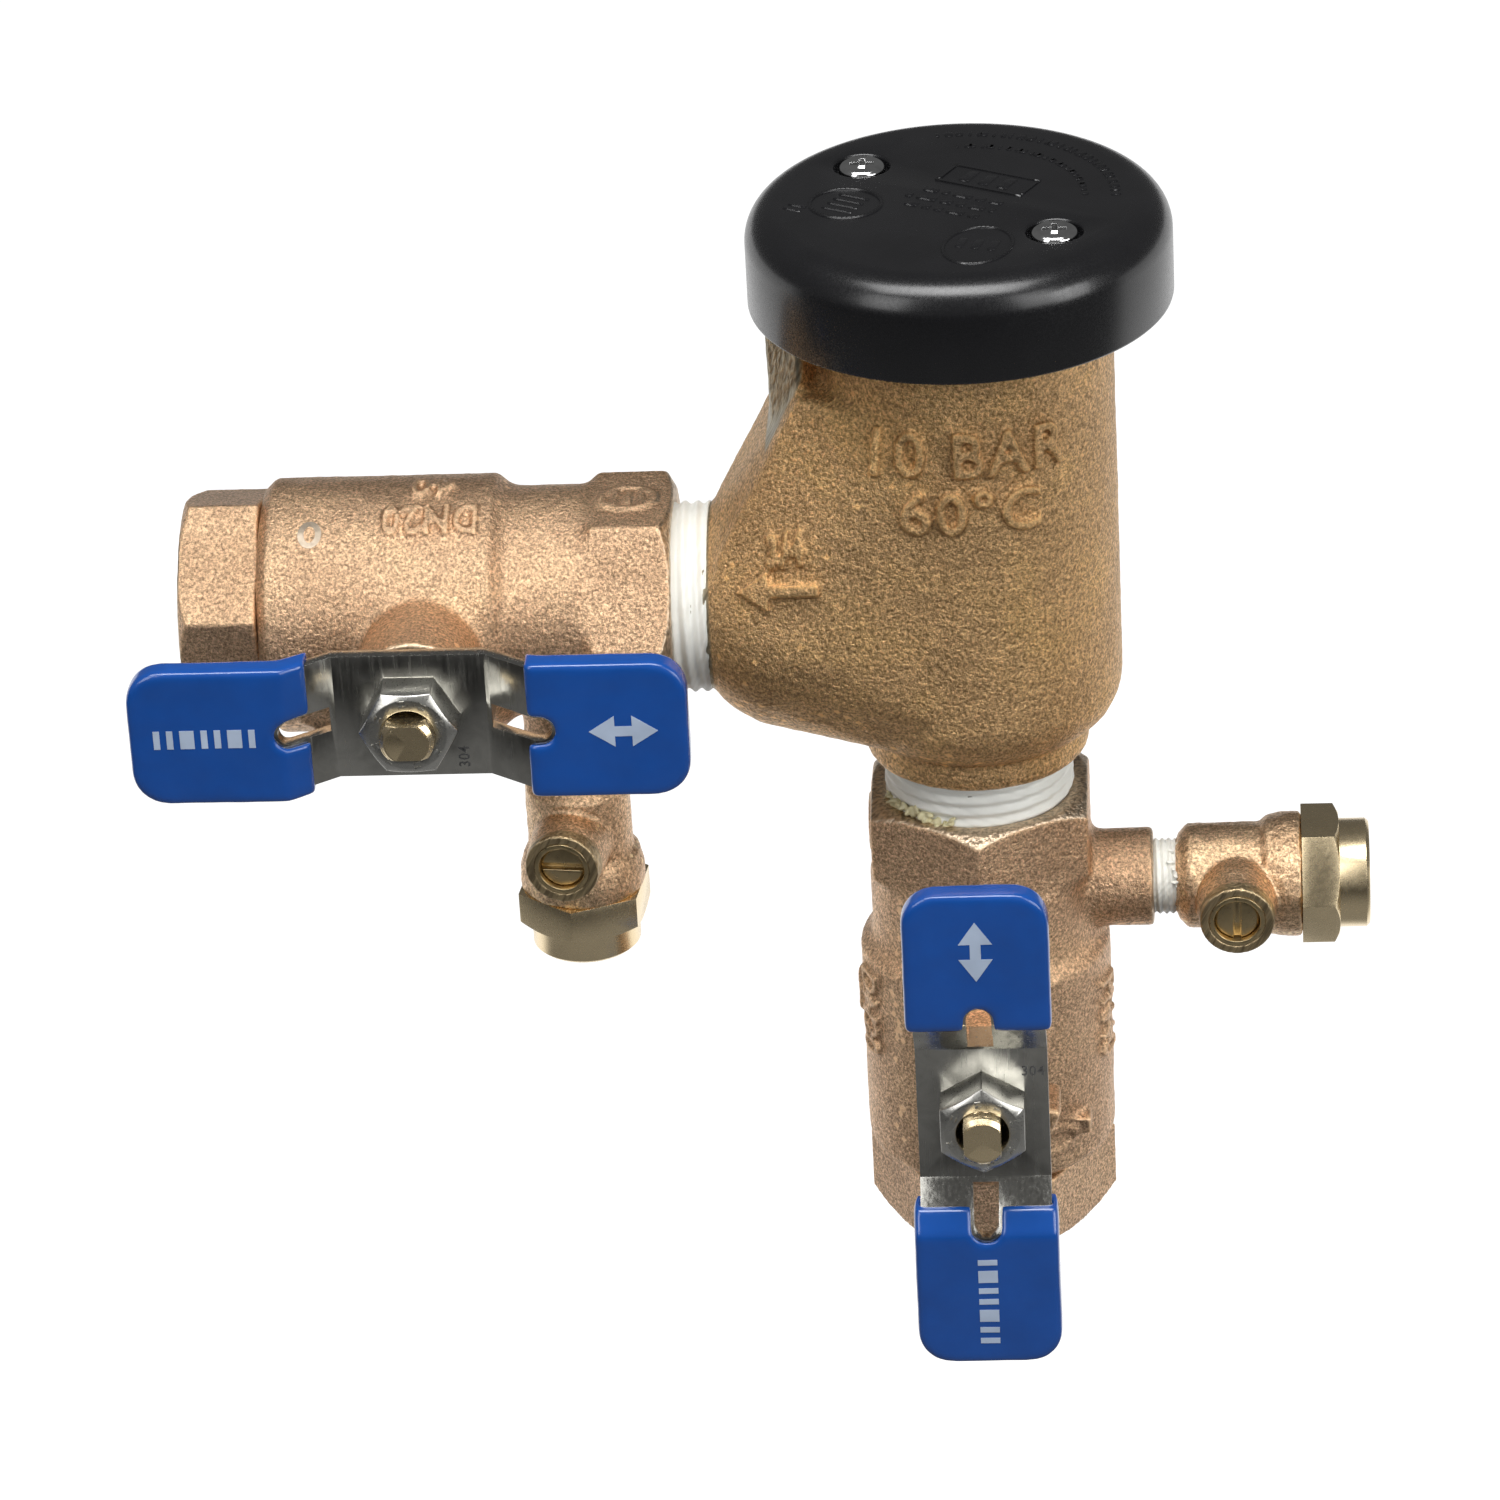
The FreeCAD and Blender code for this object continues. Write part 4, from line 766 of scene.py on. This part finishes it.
def make_body():
    """The vacuum breaker's body as one casting, with its rating, size and flow arrow raised on it."""
    piece = plain_copy("pvb_body", "pvb_body_casting")
    join(piece, [body_blend()])
    voxel(piece, 0.4)
    relax(piece, 26, body_softness, SHRINK)
    surface = surface_of(piece)
    marks = (
        (text_mesh("10 BAR", 27.5, 7.0, 0.022), on_upright_cylinder(BODY_ROUND, 4.0, 132.6), 0.85),
        (text_mesh("60\u00b0C", 19.5, 6.9, 0.022), on_upright_cylinder(BODY_ROUND, 3.5, 123.8), 0.85),
        (text_mesh("3/4", 5.4, 4.0, 0.04), on_branch(19.9, 42.0, -25.3), 0.8),
        (outline_mesh(arrow_corners(11.8, 5.4, 1.5)), on_branch(19.7, 28.0, -26.6), 0.95),
    )
    join(piece, [wrap_mark(mesh, place, surface, rise) for mesh, place, rise in marks])
    voxel(piece, 0.33)
    relax(piece, 3, 0.8)
    roughen(piece, 1.5, 0.16)
    roughen(piece, 7.0, 0.2)
    mark_machined(piece, body_machined)
    return finish_piece(piece, "pvb_body")


def arrow_corners(length, head, shaft):
    """An arrow that points to -X, centred."""
    tip, barb, tail = -length / 2, -length / 2 + head * 0.85, length / 2
    return [
        (tip, 0.0),
        (barb, -head / 2),
        (barb, -shaft / 2),
        (tail, -shaft / 2),
        (tail, shaft / 2),
        (barb, shaft / 2),
        (barb, head / 2),
    ]


def in_valve(prefix, points):
    """Points in mm from the row's frame to a shutoff valve's own."""
    turn, origin = valve_matrix(prefix)
    return (points - origin) @ turn


def make_valve_body(prefix):
    """A shutoff valve's cast body with plain raised marks."""
    node = prefix + "valve_body"

    def softness(points):
        x, y, z = in_valve(prefix, points).T
        radius = np.hypot(x, y)
        outside = (radius > 15.6) & (z > 14.0)
        stem = 1 - smoothstep(np.abs(np.hypot(x, z - VALVE_STEM) - 9.2), 1.6, 3.4)
        stem = stem * smoothstep(-y, 6.0, 9.0) * smoothstep(-y, 24.0, 20.0)
        tap = 1 - smoothstep(np.abs(np.hypot(y, z - VALVE_TAP) - 7.3), 1.0, 2.6)
        tap = tap * smoothstep(x, 8.0, 10.0) * smoothstep(x, 20.5, 18.5)
        neck = smoothstep(z, 44.0, 45.6) * smoothstep(z, 59.2, 57.4) * (radius < 19.5)
        return np.where(outside, np.clip(np.maximum(np.maximum(stem, tap), neck), 0, 1), 0.0)

    def machined(points):
        x, y, z = in_valve(prefix, points).T
        radius = np.hypot(x, y)
        mouth = smoothstep(z, 68.0, 68.5) * smoothstep(radius, 14.4, 13.9)
        gland = smoothstep(-y, 29.3, 29.6)
        gland = gland * smoothstep(np.hypot(x, z - VALVE_STEM), 9.4, 8.4)
        tap = smoothstep(x, 24.3, 24.6)
        seam = smoothstep(z, 11.9, 11.5)
        facing = (normals_of(piece.data) @ valve_matrix(prefix)[0])[:, 2]
        chamfer = smoothstep(z, 62.0, 62.5) * smoothstep(facing, 0.35, 0.5) * (radius > 14.0)
        turned = np.maximum(mouth, chamfer)
        return np.maximum(np.maximum(turned, gland * 0.8), np.maximum(tap, seam * 0.6))

    piece = plain_copy(node, node + "_casting")
    voxel(piece, 0.4)
    relax(piece, 22, softness, SHRINK)
    surface = surface_of(piece)
    flat = on_valve_face(prefix, VALVE_FLAT, 0.0, 63.5)
    marks = (
        (text_mesh("DN20", 13.6, 5.4, 0.03), on_valve(prefix, VALVE_ROUND, 24.0, 36.0), 0.7),
        (text_mesh("40", 6.4, 4.6, 0.03), on_valve(prefix, VALVE_ROUND, 1.0, 36.0), 0.7),
        (text_mesh("PN40", 13.0, 5.4, 0.03), on_valve(prefix, VALVE_ROUND, 163.0, 33.5), 0.7),
        (ring_mesh(4.6, 7.6, 0.9), on_valve(prefix, VALVE_ROUND, 122.0, 18.0), 0.3),
        (ring_mesh(8.6, 7.4, 0.95), flat, 0.45),
        (bars_mesh((1.0, 1.0, 1.0), 4.4, 0.9), flat, 0.4),
    )
    join(piece, [wrap_mark(mesh, place, surface, rise) for mesh, place, rise in marks])
    voxel(piece, 0.35)
    relax(piece, 3, 0.8)
    roughen(piece, 1.3, 0.12)
    roughen(piece, 6.0, 0.2)
    mark_machined(piece, machined)
    if prefix == "outlet_":
        # A dull grey ring is laid round the spot of a small dimple; the dimple itself is not modelled.
        spot = on_valve(prefix, VALVE_ROUND, 30.0, 19.0)
        print_on("outlet_valve_dimple", node, ring_mesh(3.4, 4.5, 0.9), spot, surface_of(piece), DIMPLE_RING_GREY, 0.03)
    return finish_piece(piece, node)


def make_adapter(prefix):
    """A shutoff valve's end adapter, cast, with a turned end face."""
    node = prefix + "end_adapter"

    def machined(points):
        return smoothstep(in_valve(prefix, points)[:, 2], 0.35, 0.1)

    piece = plain_copy(node, node + "_casting")
    voxel(piece, 0.36)
    relax(piece, 4, 0.7)
    roughen(piece, 1.3, 0.1)
    mark_machined(piece, machined)
    return finish_piece(piece, node)


def make_cock_body(prefix):
    """A test cock's cast body, soft and lumpy, with a faced ring round its stem."""
    node = prefix + "body"
    low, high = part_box(prefix + "stem")
    centre = (np.array(low) + np.array(high)) / 2 / MM

    def faced(points):
        reach = np.hypot(points[:, 0] - centre[0], points[:, 2] - centre[2])
        return smoothstep(reach, 7.2, 6.4) * smoothstep(-points[:, 1], 11.6, 12.4)

    piece = plain_copy(node, node + "_casting")
    voxel(piece, 0.22)
    relax(piece, 16, lambda points: 0.9 - 0.85 * faced(points), SHRINK)
    roughen(piece, 2.6, 0.34, lambda points: 1.0 - faced(points))
    roughen(piece, 1.1, 0.1, lambda points: 1.0 - faced(points))
    mark_machined(piece, faced)
    return finish_piece(piece, node)


# ---------------------------------------------------------------- handles, stems and nuts


def arm_slot(prefix, side, end, half):
    """The round-ended slot along one arm of a shutoff valve's handle, right through it."""
    turn, origin = valve_matrix(prefix)
    around = np.linspace(0.0, math.pi, 13)
    across = np.concatenate([[-half, half], half * np.cos(around)])
    along = np.concatenate([[12.0, 12.0], end - half + half * np.sin(around)])
    local = [(x, y, VALVE_STEM + side * z) for x, z in zip(across, along) for y in (-60.0, -20.0)]
    return np.array(local) @ turn.T + origin


def make_handle(prefix):
    """The pressed steel handle, its slots run on under the sleeves."""
    node = prefix + "handle"
    piece = plain_copy(node, node + "_look", merge=True)
    for side, end in SLOT_ENDS:
        cut_away(piece, arm_slot(prefix, side, end, 1.8))
    round_edges(piece, 0.25)
    shade(piece, 32)
    return finish_piece(piece, node)


def make_grips(prefix):
    """The vinyl sleeves, with the soft edges of a dipped coat, notched where the arms' slots run in."""
    node = prefix + "handle_grips"
    piece = plain_copy(node, node + "_dip")
    for side, end in SLOT_ENDS:
        cut_away(piece, arm_slot(prefix, side, end + 0.3, 2.0))
    voxel(piece, 0.25)
    relax(piece, 38, 1.0, SHRINK)
    roughen(piece, 9.0, 0.25)
    shade(piece)
    return finish_piece(piece, node)


def threaded_stem(prefix):
    """The stem's visible end: a thread with a flat on each side, drawn out along the stem."""
    node = prefix + "stem"
    turn, origin = valve_matrix(prefix)
    start, end, pitch = 31.9, 42.68, 1.25
    rows, columns = 130, 96
    vertices = []
    for row in range(rows + 1):
        out = start + (end - start) * row / rows
        for column in range(columns):
            angle = 2 * math.pi * column / columns
            phase = (out / pitch - column / columns) % 1.0
            groove = 0.42 * (1 - abs(phase * 2 - 1)) ** 0.8
            radius = 3.83 - groove
            radius -= max(0.0, out - (end - 0.6))
            flat = 2.64 / max(1e-6, abs(math.cos(angle)))
            radius = min(radius, flat)
            local = np.array([radius * math.cos(angle), -out, VALVE_STEM + radius * math.sin(angle)])
            vertices.append((turn @ local + origin) * MM)
    vertices.append((turn @ np.array([0.0, -end, VALVE_STEM]) + origin) * MM)
    faces = tube_faces(rows, columns)
    tip = len(vertices) - 1
    last = rows * columns
    for column in range(columns):
        faces.append((last + (column + 1) % columns, tip, last + column))
    piece = mesh_piece(node + "_thread", vertices, faces)
    shade(piece, 40)
    return finish_piece(piece, node, replaces=False)


def make_tape(node, axis, turns_out, pitch, seed, tuck=0.0):
    """Thread tape: wraps pressed into the thread's turns, tucked into the mouth that it enters."""
    rng = np.random.default_rng(seed)
    low, high = (Vector(corner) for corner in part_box(node))
    centre = (low + high) / 2
    length = abs((high - low).dot(axis)) / MM + tuck
    origin = centre - axis * (length + tuck) / 2 * MM
    rows, columns = 84, 300
    ripples = rng.uniform(0, 2 * math.pi, 12)
    side = axis.cross(Vector((0, 1, 0)))
    other = axis.cross(side)
    inner, outer = turns_out
    vertices = []
    for row in range(rows + 1):
        along = length * row / rows
        for column in range(columns):
            angle = 2 * math.pi * column / columns
            phase = (along / pitch - angle / (2 * math.pi)) % 1.0
            ridge = 0.5 - 0.5 * math.cos(2 * math.pi * phase)
            waves = (math.sin(angle * (7 + 5 * k) + along * (2.0 + k) + ripples[k]) for k in range(6))
            fold = sum(waves) * 0.016
            wobble = sum(math.sin(angle * (2 + k) + ripples[k + 6]) for k in range(4)) * 0.05
            radius = inner + (outer - inner) * (0.1 + 0.9 * ridge) + fold
            edge = min(1.0, (length - along) / 0.25, (along + 0.1) / 0.25)
            radius = inner - 0.3 + (radius - inner + 0.3) * max(0.0, edge) ** 0.5
            shift = wobble * (row / rows - 0.5)
            point = origin + axis * (along + shift) * MM
            point += (side * math.cos(angle) + other * math.sin(angle)) * radius * MM
            vertices.append(point)
    return finish_piece(mesh_piece(node + "_wraps", vertices, tube_faces(rows, columns)), node)


def make_dope(name, node, path, count, size, seed, material=None):
    """A frayed, lumpy bead of thread sealant squeezed out along a path; path takes 0 to 1 and gives mm."""
    rng = np.random.default_rng(seed)
    work = bmesh.new()
    for share in np.sort(rng.uniform(0.0, 1.0, count)):
        radius = size * (0.45 + 0.55 * rng.uniform()) * (0.5 + 0.5 * math.sin(math.pi * share) ** 0.5)
        place = Vector(path(share)) + Vector(rng.normal(0.0, size * 0.42, 3))
        turn = Matrix.Rotation(rng.uniform(0, math.pi), 4, Vector(rng.normal(0.0, 1.0, 3)).normalized())
        stretch = Matrix.Diagonal((radius * 1.5, radius, radius * 0.7, 1.0))
        shape = Matrix.Scale(MM, 4) @ Matrix.Translation(place) @ turn @ stretch
        bmesh.ops.create_icosphere(work, subdivisions=2, radius=1.0, matrix=shape)
    piece = link(bpy.data.objects.new(name, to_mesh(work, name)))
    voxel(piece, 0.12)
    relax(piece, 3, 0.6, SHRINK)
    roughen(piece, 0.6, 0.12)
    return finish_piece(piece, node, material or DOPE, replaces=False)


def beside_cock(share):
    """The loose end of tape at the inlet test cock, round its front and top."""
    turn = math.radians(5.0 + 75.0 * share)
    return 27.7 + 0.4 * math.sin(share * 7.0), -5.5 * math.cos(turn), VALVE_TAP + 5.5 * math.sin(turn)


def round_ring(radius, height, start, end):
    """A path round the riser, from one angle to another, measured from -Y towards +X in degrees."""

    def path(share):
        turn = math.radians(start + (end - start) * share)
        return radius * math.sin(turn), -radius * math.cos(turn), height - 0.5 * math.sin(share * 9.0)

    return path


def print_on(name, node, mesh, place, surface, material, rise=0.05):
    """A thin printed or stamped mark laid on a piece."""
    piece = wrap_mark(mesh, place, surface, rise, 0.1)
    piece.name = name
    shade(piece, 40)
    return finish_piece(piece, node, material, replaces=False)


def double_arrow(length, width):
    """A plain two-headed arrow, which says that the handle turns both ways."""
    half, head, shaft = length / 2, width * 0.75, width * 0.16
    above = [(head - half, shaft), (half - head, shaft), (half - head, width / 2)]
    below = [(x, -y) for x, y in above[::-1]]
    left = [(head - half, -width / 2), (-half, 0.0), (head - half, width / 2)]
    return above + [(half, 0.0)] + below + left


def make_prints(prefix, grips, handle):
    """White prints on the two sleeves, and a steel grade stamped on the plate."""
    node = prefix + "handle_grips"
    low, high = (np.array(corner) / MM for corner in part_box(node))
    centre = (low + high) / 2
    front = low[1]
    surface = surface_of(grips)
    upright = prefix == "inlet_"
    half = (high - low)[2 if upright else 0] / 2
    turn = 270.0 if upright else 180.0
    along = np.array([0.0, 0.0, 1.0]) if upright else np.array([1.0, 0.0, 0.0])
    for label, reach, mesh in (
        ("arrow", half - 9.0, outline_mesh(double_arrow(9.6, 4.8))),
        ("bars", 10.6 - half, bars_mesh((0.9, 2.0, 0.9, 0.9, 2.0, 0.9, 0.9), 2.8, 0.95)),
    ):
        spot = centre + along * reach
        place = on_front((spot[0], front, spot[2]), turn)
        print_on(node + "_" + label, node, mesh, place, surface, WHITE_PRINT)
    plate = prefix + "handle"
    spot = centre + (np.array([7.3, 0.0, 6.9]) if upright else np.array([6.9, 0.0, -6.6]))
    stamp = text_mesh("304", 3.2, 1.6, 0.01)
    place = on_front((spot[0], front + 5.8, spot[2]), turn + 90.0 if upright else turn - 90.0)
    print_on(plate + "_grade", plate, stamp, place, surface_of(handle), STAMP, 0.03)


def make_nut(prefix):
    """A hexagon nut with a turned chamfer and small raised marks round its face."""
    node = prefix + "handle_nut"
    low, high = (np.array(corner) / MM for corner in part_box(node))
    centre, front, back = (low + high) / 2, low[1], high[1]
    piece = plain_copy(node, node + "_look", merge=True)
    angles = np.arange(96) * 2 * math.pi / 96
    rings = []
    for radius, depth in ((5.35, front - 0.02), (8.0, front + 1.55), (8.0, back + 1.0)):
        ring = [centre[0] + radius * np.cos(angles), np.full(96, depth), centre[2] + radius * np.sin(angles)]
        rings.append(np.stack(ring, 1))
    boolean_with(piece, solid_hull(np.concatenate(rings)), "INTERSECT")
    round_edges(piece, 0.14, limit=20)
    surface = surface_of(piece)
    marks = []
    for turn in (20.0, 62.0, 96.0, 148.0, 200.0, 236.0, 282.0, 324.0):
        angle = math.radians(turn)
        spot = (centre[0] + 4.85 * math.cos(angle), front, centre[2] + 4.85 * math.sin(angle))
        marks.append(wrap_mark(bars_mesh((0.32, 0.32), 0.9, 0.4), on_front(spot, turn), surface, 0.12, 0.1))
    join(piece, marks)
    shade(piece, 32)
    return finish_piece(piece, node)


def make_canopy():
    """The moulded canopy, with faint plain relief where such covers carry their markings."""
    piece = bevelled("canopy", 0.5, 3, 40)
    surface = surface_of(piece)
    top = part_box("canopy")[1][2] / MM
    marks = []
    soft = 0.2

    def add(mesh, x, y, turn):
        marks.append(wrap_mark(mesh, on_top(x, y, top, turn), surface, CANOPY_RELIEF, 0.02))

    slant = -28.0
    for radius, start, step, height in ((21.9, 96.0, 9.2, 1.7), (17.6, 88.0, 8.2, 1.2)):
        for index in range(11):
            turn = start - index * step
            widths = (1.3, 0.7, 1.0) if index % 3 else (0.7, 1.4)
            angle = math.radians(turn)
            x, y = radius * math.cos(angle), radius * math.sin(angle)
            add(bars_mesh(widths, height, 0.5, soft), x, y, turn - 90.0)
    add(ring_mesh(10.6, 10.2, 0.5), -15.4, -1.0, slant)
    add(bars_mesh((0.7, 0.7, 0.7, 0.7), 5.0, 0.9, soft), -15.4, -1.0, slant + 90.0)
    add(bars_mesh((0.8, 0.8), 3.0, 0.6, soft), -22.4, -2.0, slant + 90.0)
    add(frame_mesh(13.6, 6.0, 0.5), 4.2, 5.6, slant)
    add(bars_mesh((1.8, 1.8, 1.8), 3.6, 1.2, soft), 4.2, 5.6, slant)
    for x, y, widths in (
        (0.9, 0.4, (2.4, 1.2, 3.0, 1.6, 2.2)),
        (-0.9, -1.7, (1.2, 3.2, 2.0, 1.4, 2.6, 1.0)),
        (-2.0, -4.0, (2.2, 1.4, 1.4, 2.8, 1.8)),
    ):
        add(bars_mesh(widths, 1.3, 0.55, soft), x, y, slant)
    add(ring_mesh(9.8, 12.6, 0.5), 3.2, -16.0, slant + 12.0)
    add(bars_mesh((1.4, 1.4, 1.4), 3.4, 0.9, soft), 3.2, -15.6, slant + 12.0)
    join(piece, marks)
    shade(piece, 35)
    return piece


def frame_mesh(width, height, band):
    """A raised rectangular frame, one unit thick."""
    work = bmesh.new()
    for x, y, across, up in (
        (0.0, (height - band) / 2, width, band),
        (0.0, (band - height) / 2, width, band),
        ((width - band) / 2, 0.0, band, height - 2 * band),
        ((band - width) / 2, 0.0, band, height - 2 * band),
    ):
        add_block(work, x, y, across, up)
    return to_mesh(work, "frame")


def make_springs():
    """The springs, as copies of the CAD nodes, each with its own mesh."""
    for joint in frame["record"]["behaviour"]["joints"]:
        for row in joint.get("deforming_nodes", ()):
            node, fixed = row["node"], row["fixed_end_z_m"]
            piece = finish_piece(plain_copy(node, node + "_look", merge=True), node)
            shade(piece, 35)
            length = max(abs(corner[2] - fixed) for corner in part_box(node))
            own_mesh(piece)


# ---------------------------------------------------------------- camera, light and floor


def make_camera():
    """The camera of the reference view: its axes in the row's frame, and its place in mm."""
    camera = bpy.data.objects.new("camera", bpy.data.cameras.new("camera"))
    link(camera)
    right = Vector((0.99759, 0.04846, -0.04966))
    up = Vector((0.02036, 0.47977, 0.87717))
    back = Vector((0.06633, -0.87606, 0.47762))
    turn = Matrix((right, up, back)).transposed().to_4x4()
    camera.matrix_world = Matrix.Translation(Vector((34.0, -884.4, 557.8)) * MM) @ turn
    camera.data.lens = 167.8
    camera.data.sensor_width = 36.0
    camera.data.clip_end = 20.0
    bpy.context.scene.camera = camera


def add_area(name, position, target, size, power):
    """A rectangular soft box that looks at the target."""
    light = bpy.data.lights.new(name, "AREA")
    light.shape = "RECTANGLE"
    light.size, light.size_y = size
    light.energy = power
    light.spread = math.radians(LIGHT_SPREAD)
    lamp = link(bpy.data.objects.new(name, light))
    lamp.location = position
    lamp.rotation_euler = (Vector(target) - Vector(position)).to_track_quat("-Z", "Y").to_euler()


def make_light():
    """Soft boxes to the left, the right and above, and a dim white world."""
    world = bpy.data.worlds.new("studio")
    bpy.context.scene.world = world
    world.use_nodes = True
    set_sockets(world.node_tree.nodes["Background"], Color=WHITE, Strength=0.11)
    add_area("key_left", (-0.52, -0.62, 0.52), (-0.07, 0.0, 0.10), (0.34, 0.6), 0.72)
    add_area("key_right", (0.50, -0.55, 0.40), (0.05, 0.0, 0.06), (0.28, 0.6), 0.52)
    add_area("top", (-0.05, -0.22, 0.85), (-0.03, 0.0, 0.1), (0.8, 0.35), 2.7)
    add_area("side_right", (0.46, -0.26, 0.24), (0.045, 0.0, 0.053), (0.18, 0.3), 0.32)


def make_floor():
    """A white floor that lights the object's front dimly, as in a studio with a dark foreground."""
    size = 6.0
    corners = [(x * size, y * size, FLOOR_LEVEL) for x, y in ((-1, -1), (1, -1), (1, 1), (-1, 1))]
    mesh = bpy.data.meshes.new("floor")
    mesh.from_pydata(corners, [], [(0, 1, 2, 3)])
    floor = link(bpy.data.objects.new("floor", mesh))
    material, nodes, links, shader = new_material("floor")
    set_sockets(shader, Roughness=0.9, Base_Color=(0.2, 0.2, 0.2, 1.0), Emission_Color=WHITE)
    place = nodes.new("ShaderNodeSeparateXYZ")
    links.new(coordinates(nodes), place.inputs["Vector"])
    fade = nodes.new("ShaderNodeMapRange")
    fade.interpolation_type = "SMOOTHSTEP"
    set_sockets(fade, From_Max=0.14)
    links.new(place.outputs["Y"], fade.inputs["Value"])
    seen = nodes.new("ShaderNodeMath")
    seen.operation = "MAXIMUM"
    links.new(fade.outputs["Result"], seen.inputs[0])
    links.new(nodes.new("ShaderNodeLightPath").outputs["Is Camera Ray"], seen.inputs[1])
    links.new(seen.outputs["Value"], shader.inputs["Emission Strength"])
    floor.data.materials.append(material)


def paint_cad_nodes():
    """Give every CAD node its slot's material."""
    for node, item in frame["nodes"].items():
        item.data.materials.clear()
        item.data.materials.append(MATERIALS[SLOT_OF[node]])


def main():
    bpy.context.scene.view_settings.view_transform = "Standard"
    paint_cad_nodes()
    make_camera()
    make_light()
    make_floor()
    make_body()
    make_tape("inlet_thread_tape", UP, (13.12, 13.64), 1.814, 3, 1.3)
    make_tape("outlet_thread_tape", RIGHT, (13.12, 13.64), 1.814, 4, 1.3)
    make_dope("riser_sealant", "inlet_thread_tape", round_ring(13.75, 70.4, -74.0, -14.0), 70, 0.68, 5)
    for prefix in ("inlet_", "outlet_"):
        make_valve_body(prefix)
        make_adapter(prefix)
        grips = make_grips(prefix)
        threaded_stem(prefix)
        make_prints(prefix, grips, make_handle(prefix))
        make_nut(prefix)
        bevelled(prefix + "gland_nut", 0.15)
        cock = prefix + "cock_"
        make_cock_body(cock)
        bevelled(cock + "end_piece", 0.2)
        bevelled(cock + "stem", 0.1, material=DULL_BRASS)
        bevelled(cock + "stem_ring", 0.08, material=DULL_BRASS)
        make_tape(cock + "thread_tape", RIGHT if prefix == "inlet_" else UP, (5.15, 5.5), 0.94, 6)
    make_dope("cock_tape_end", "inlet_cock_thread_tape", beside_cock, 22, 0.4, 8, MATERIALS["ptfe_tape"])
    make_canopy()
    bevelled("canopy_screws", 0.12)
    make_springs()


main()
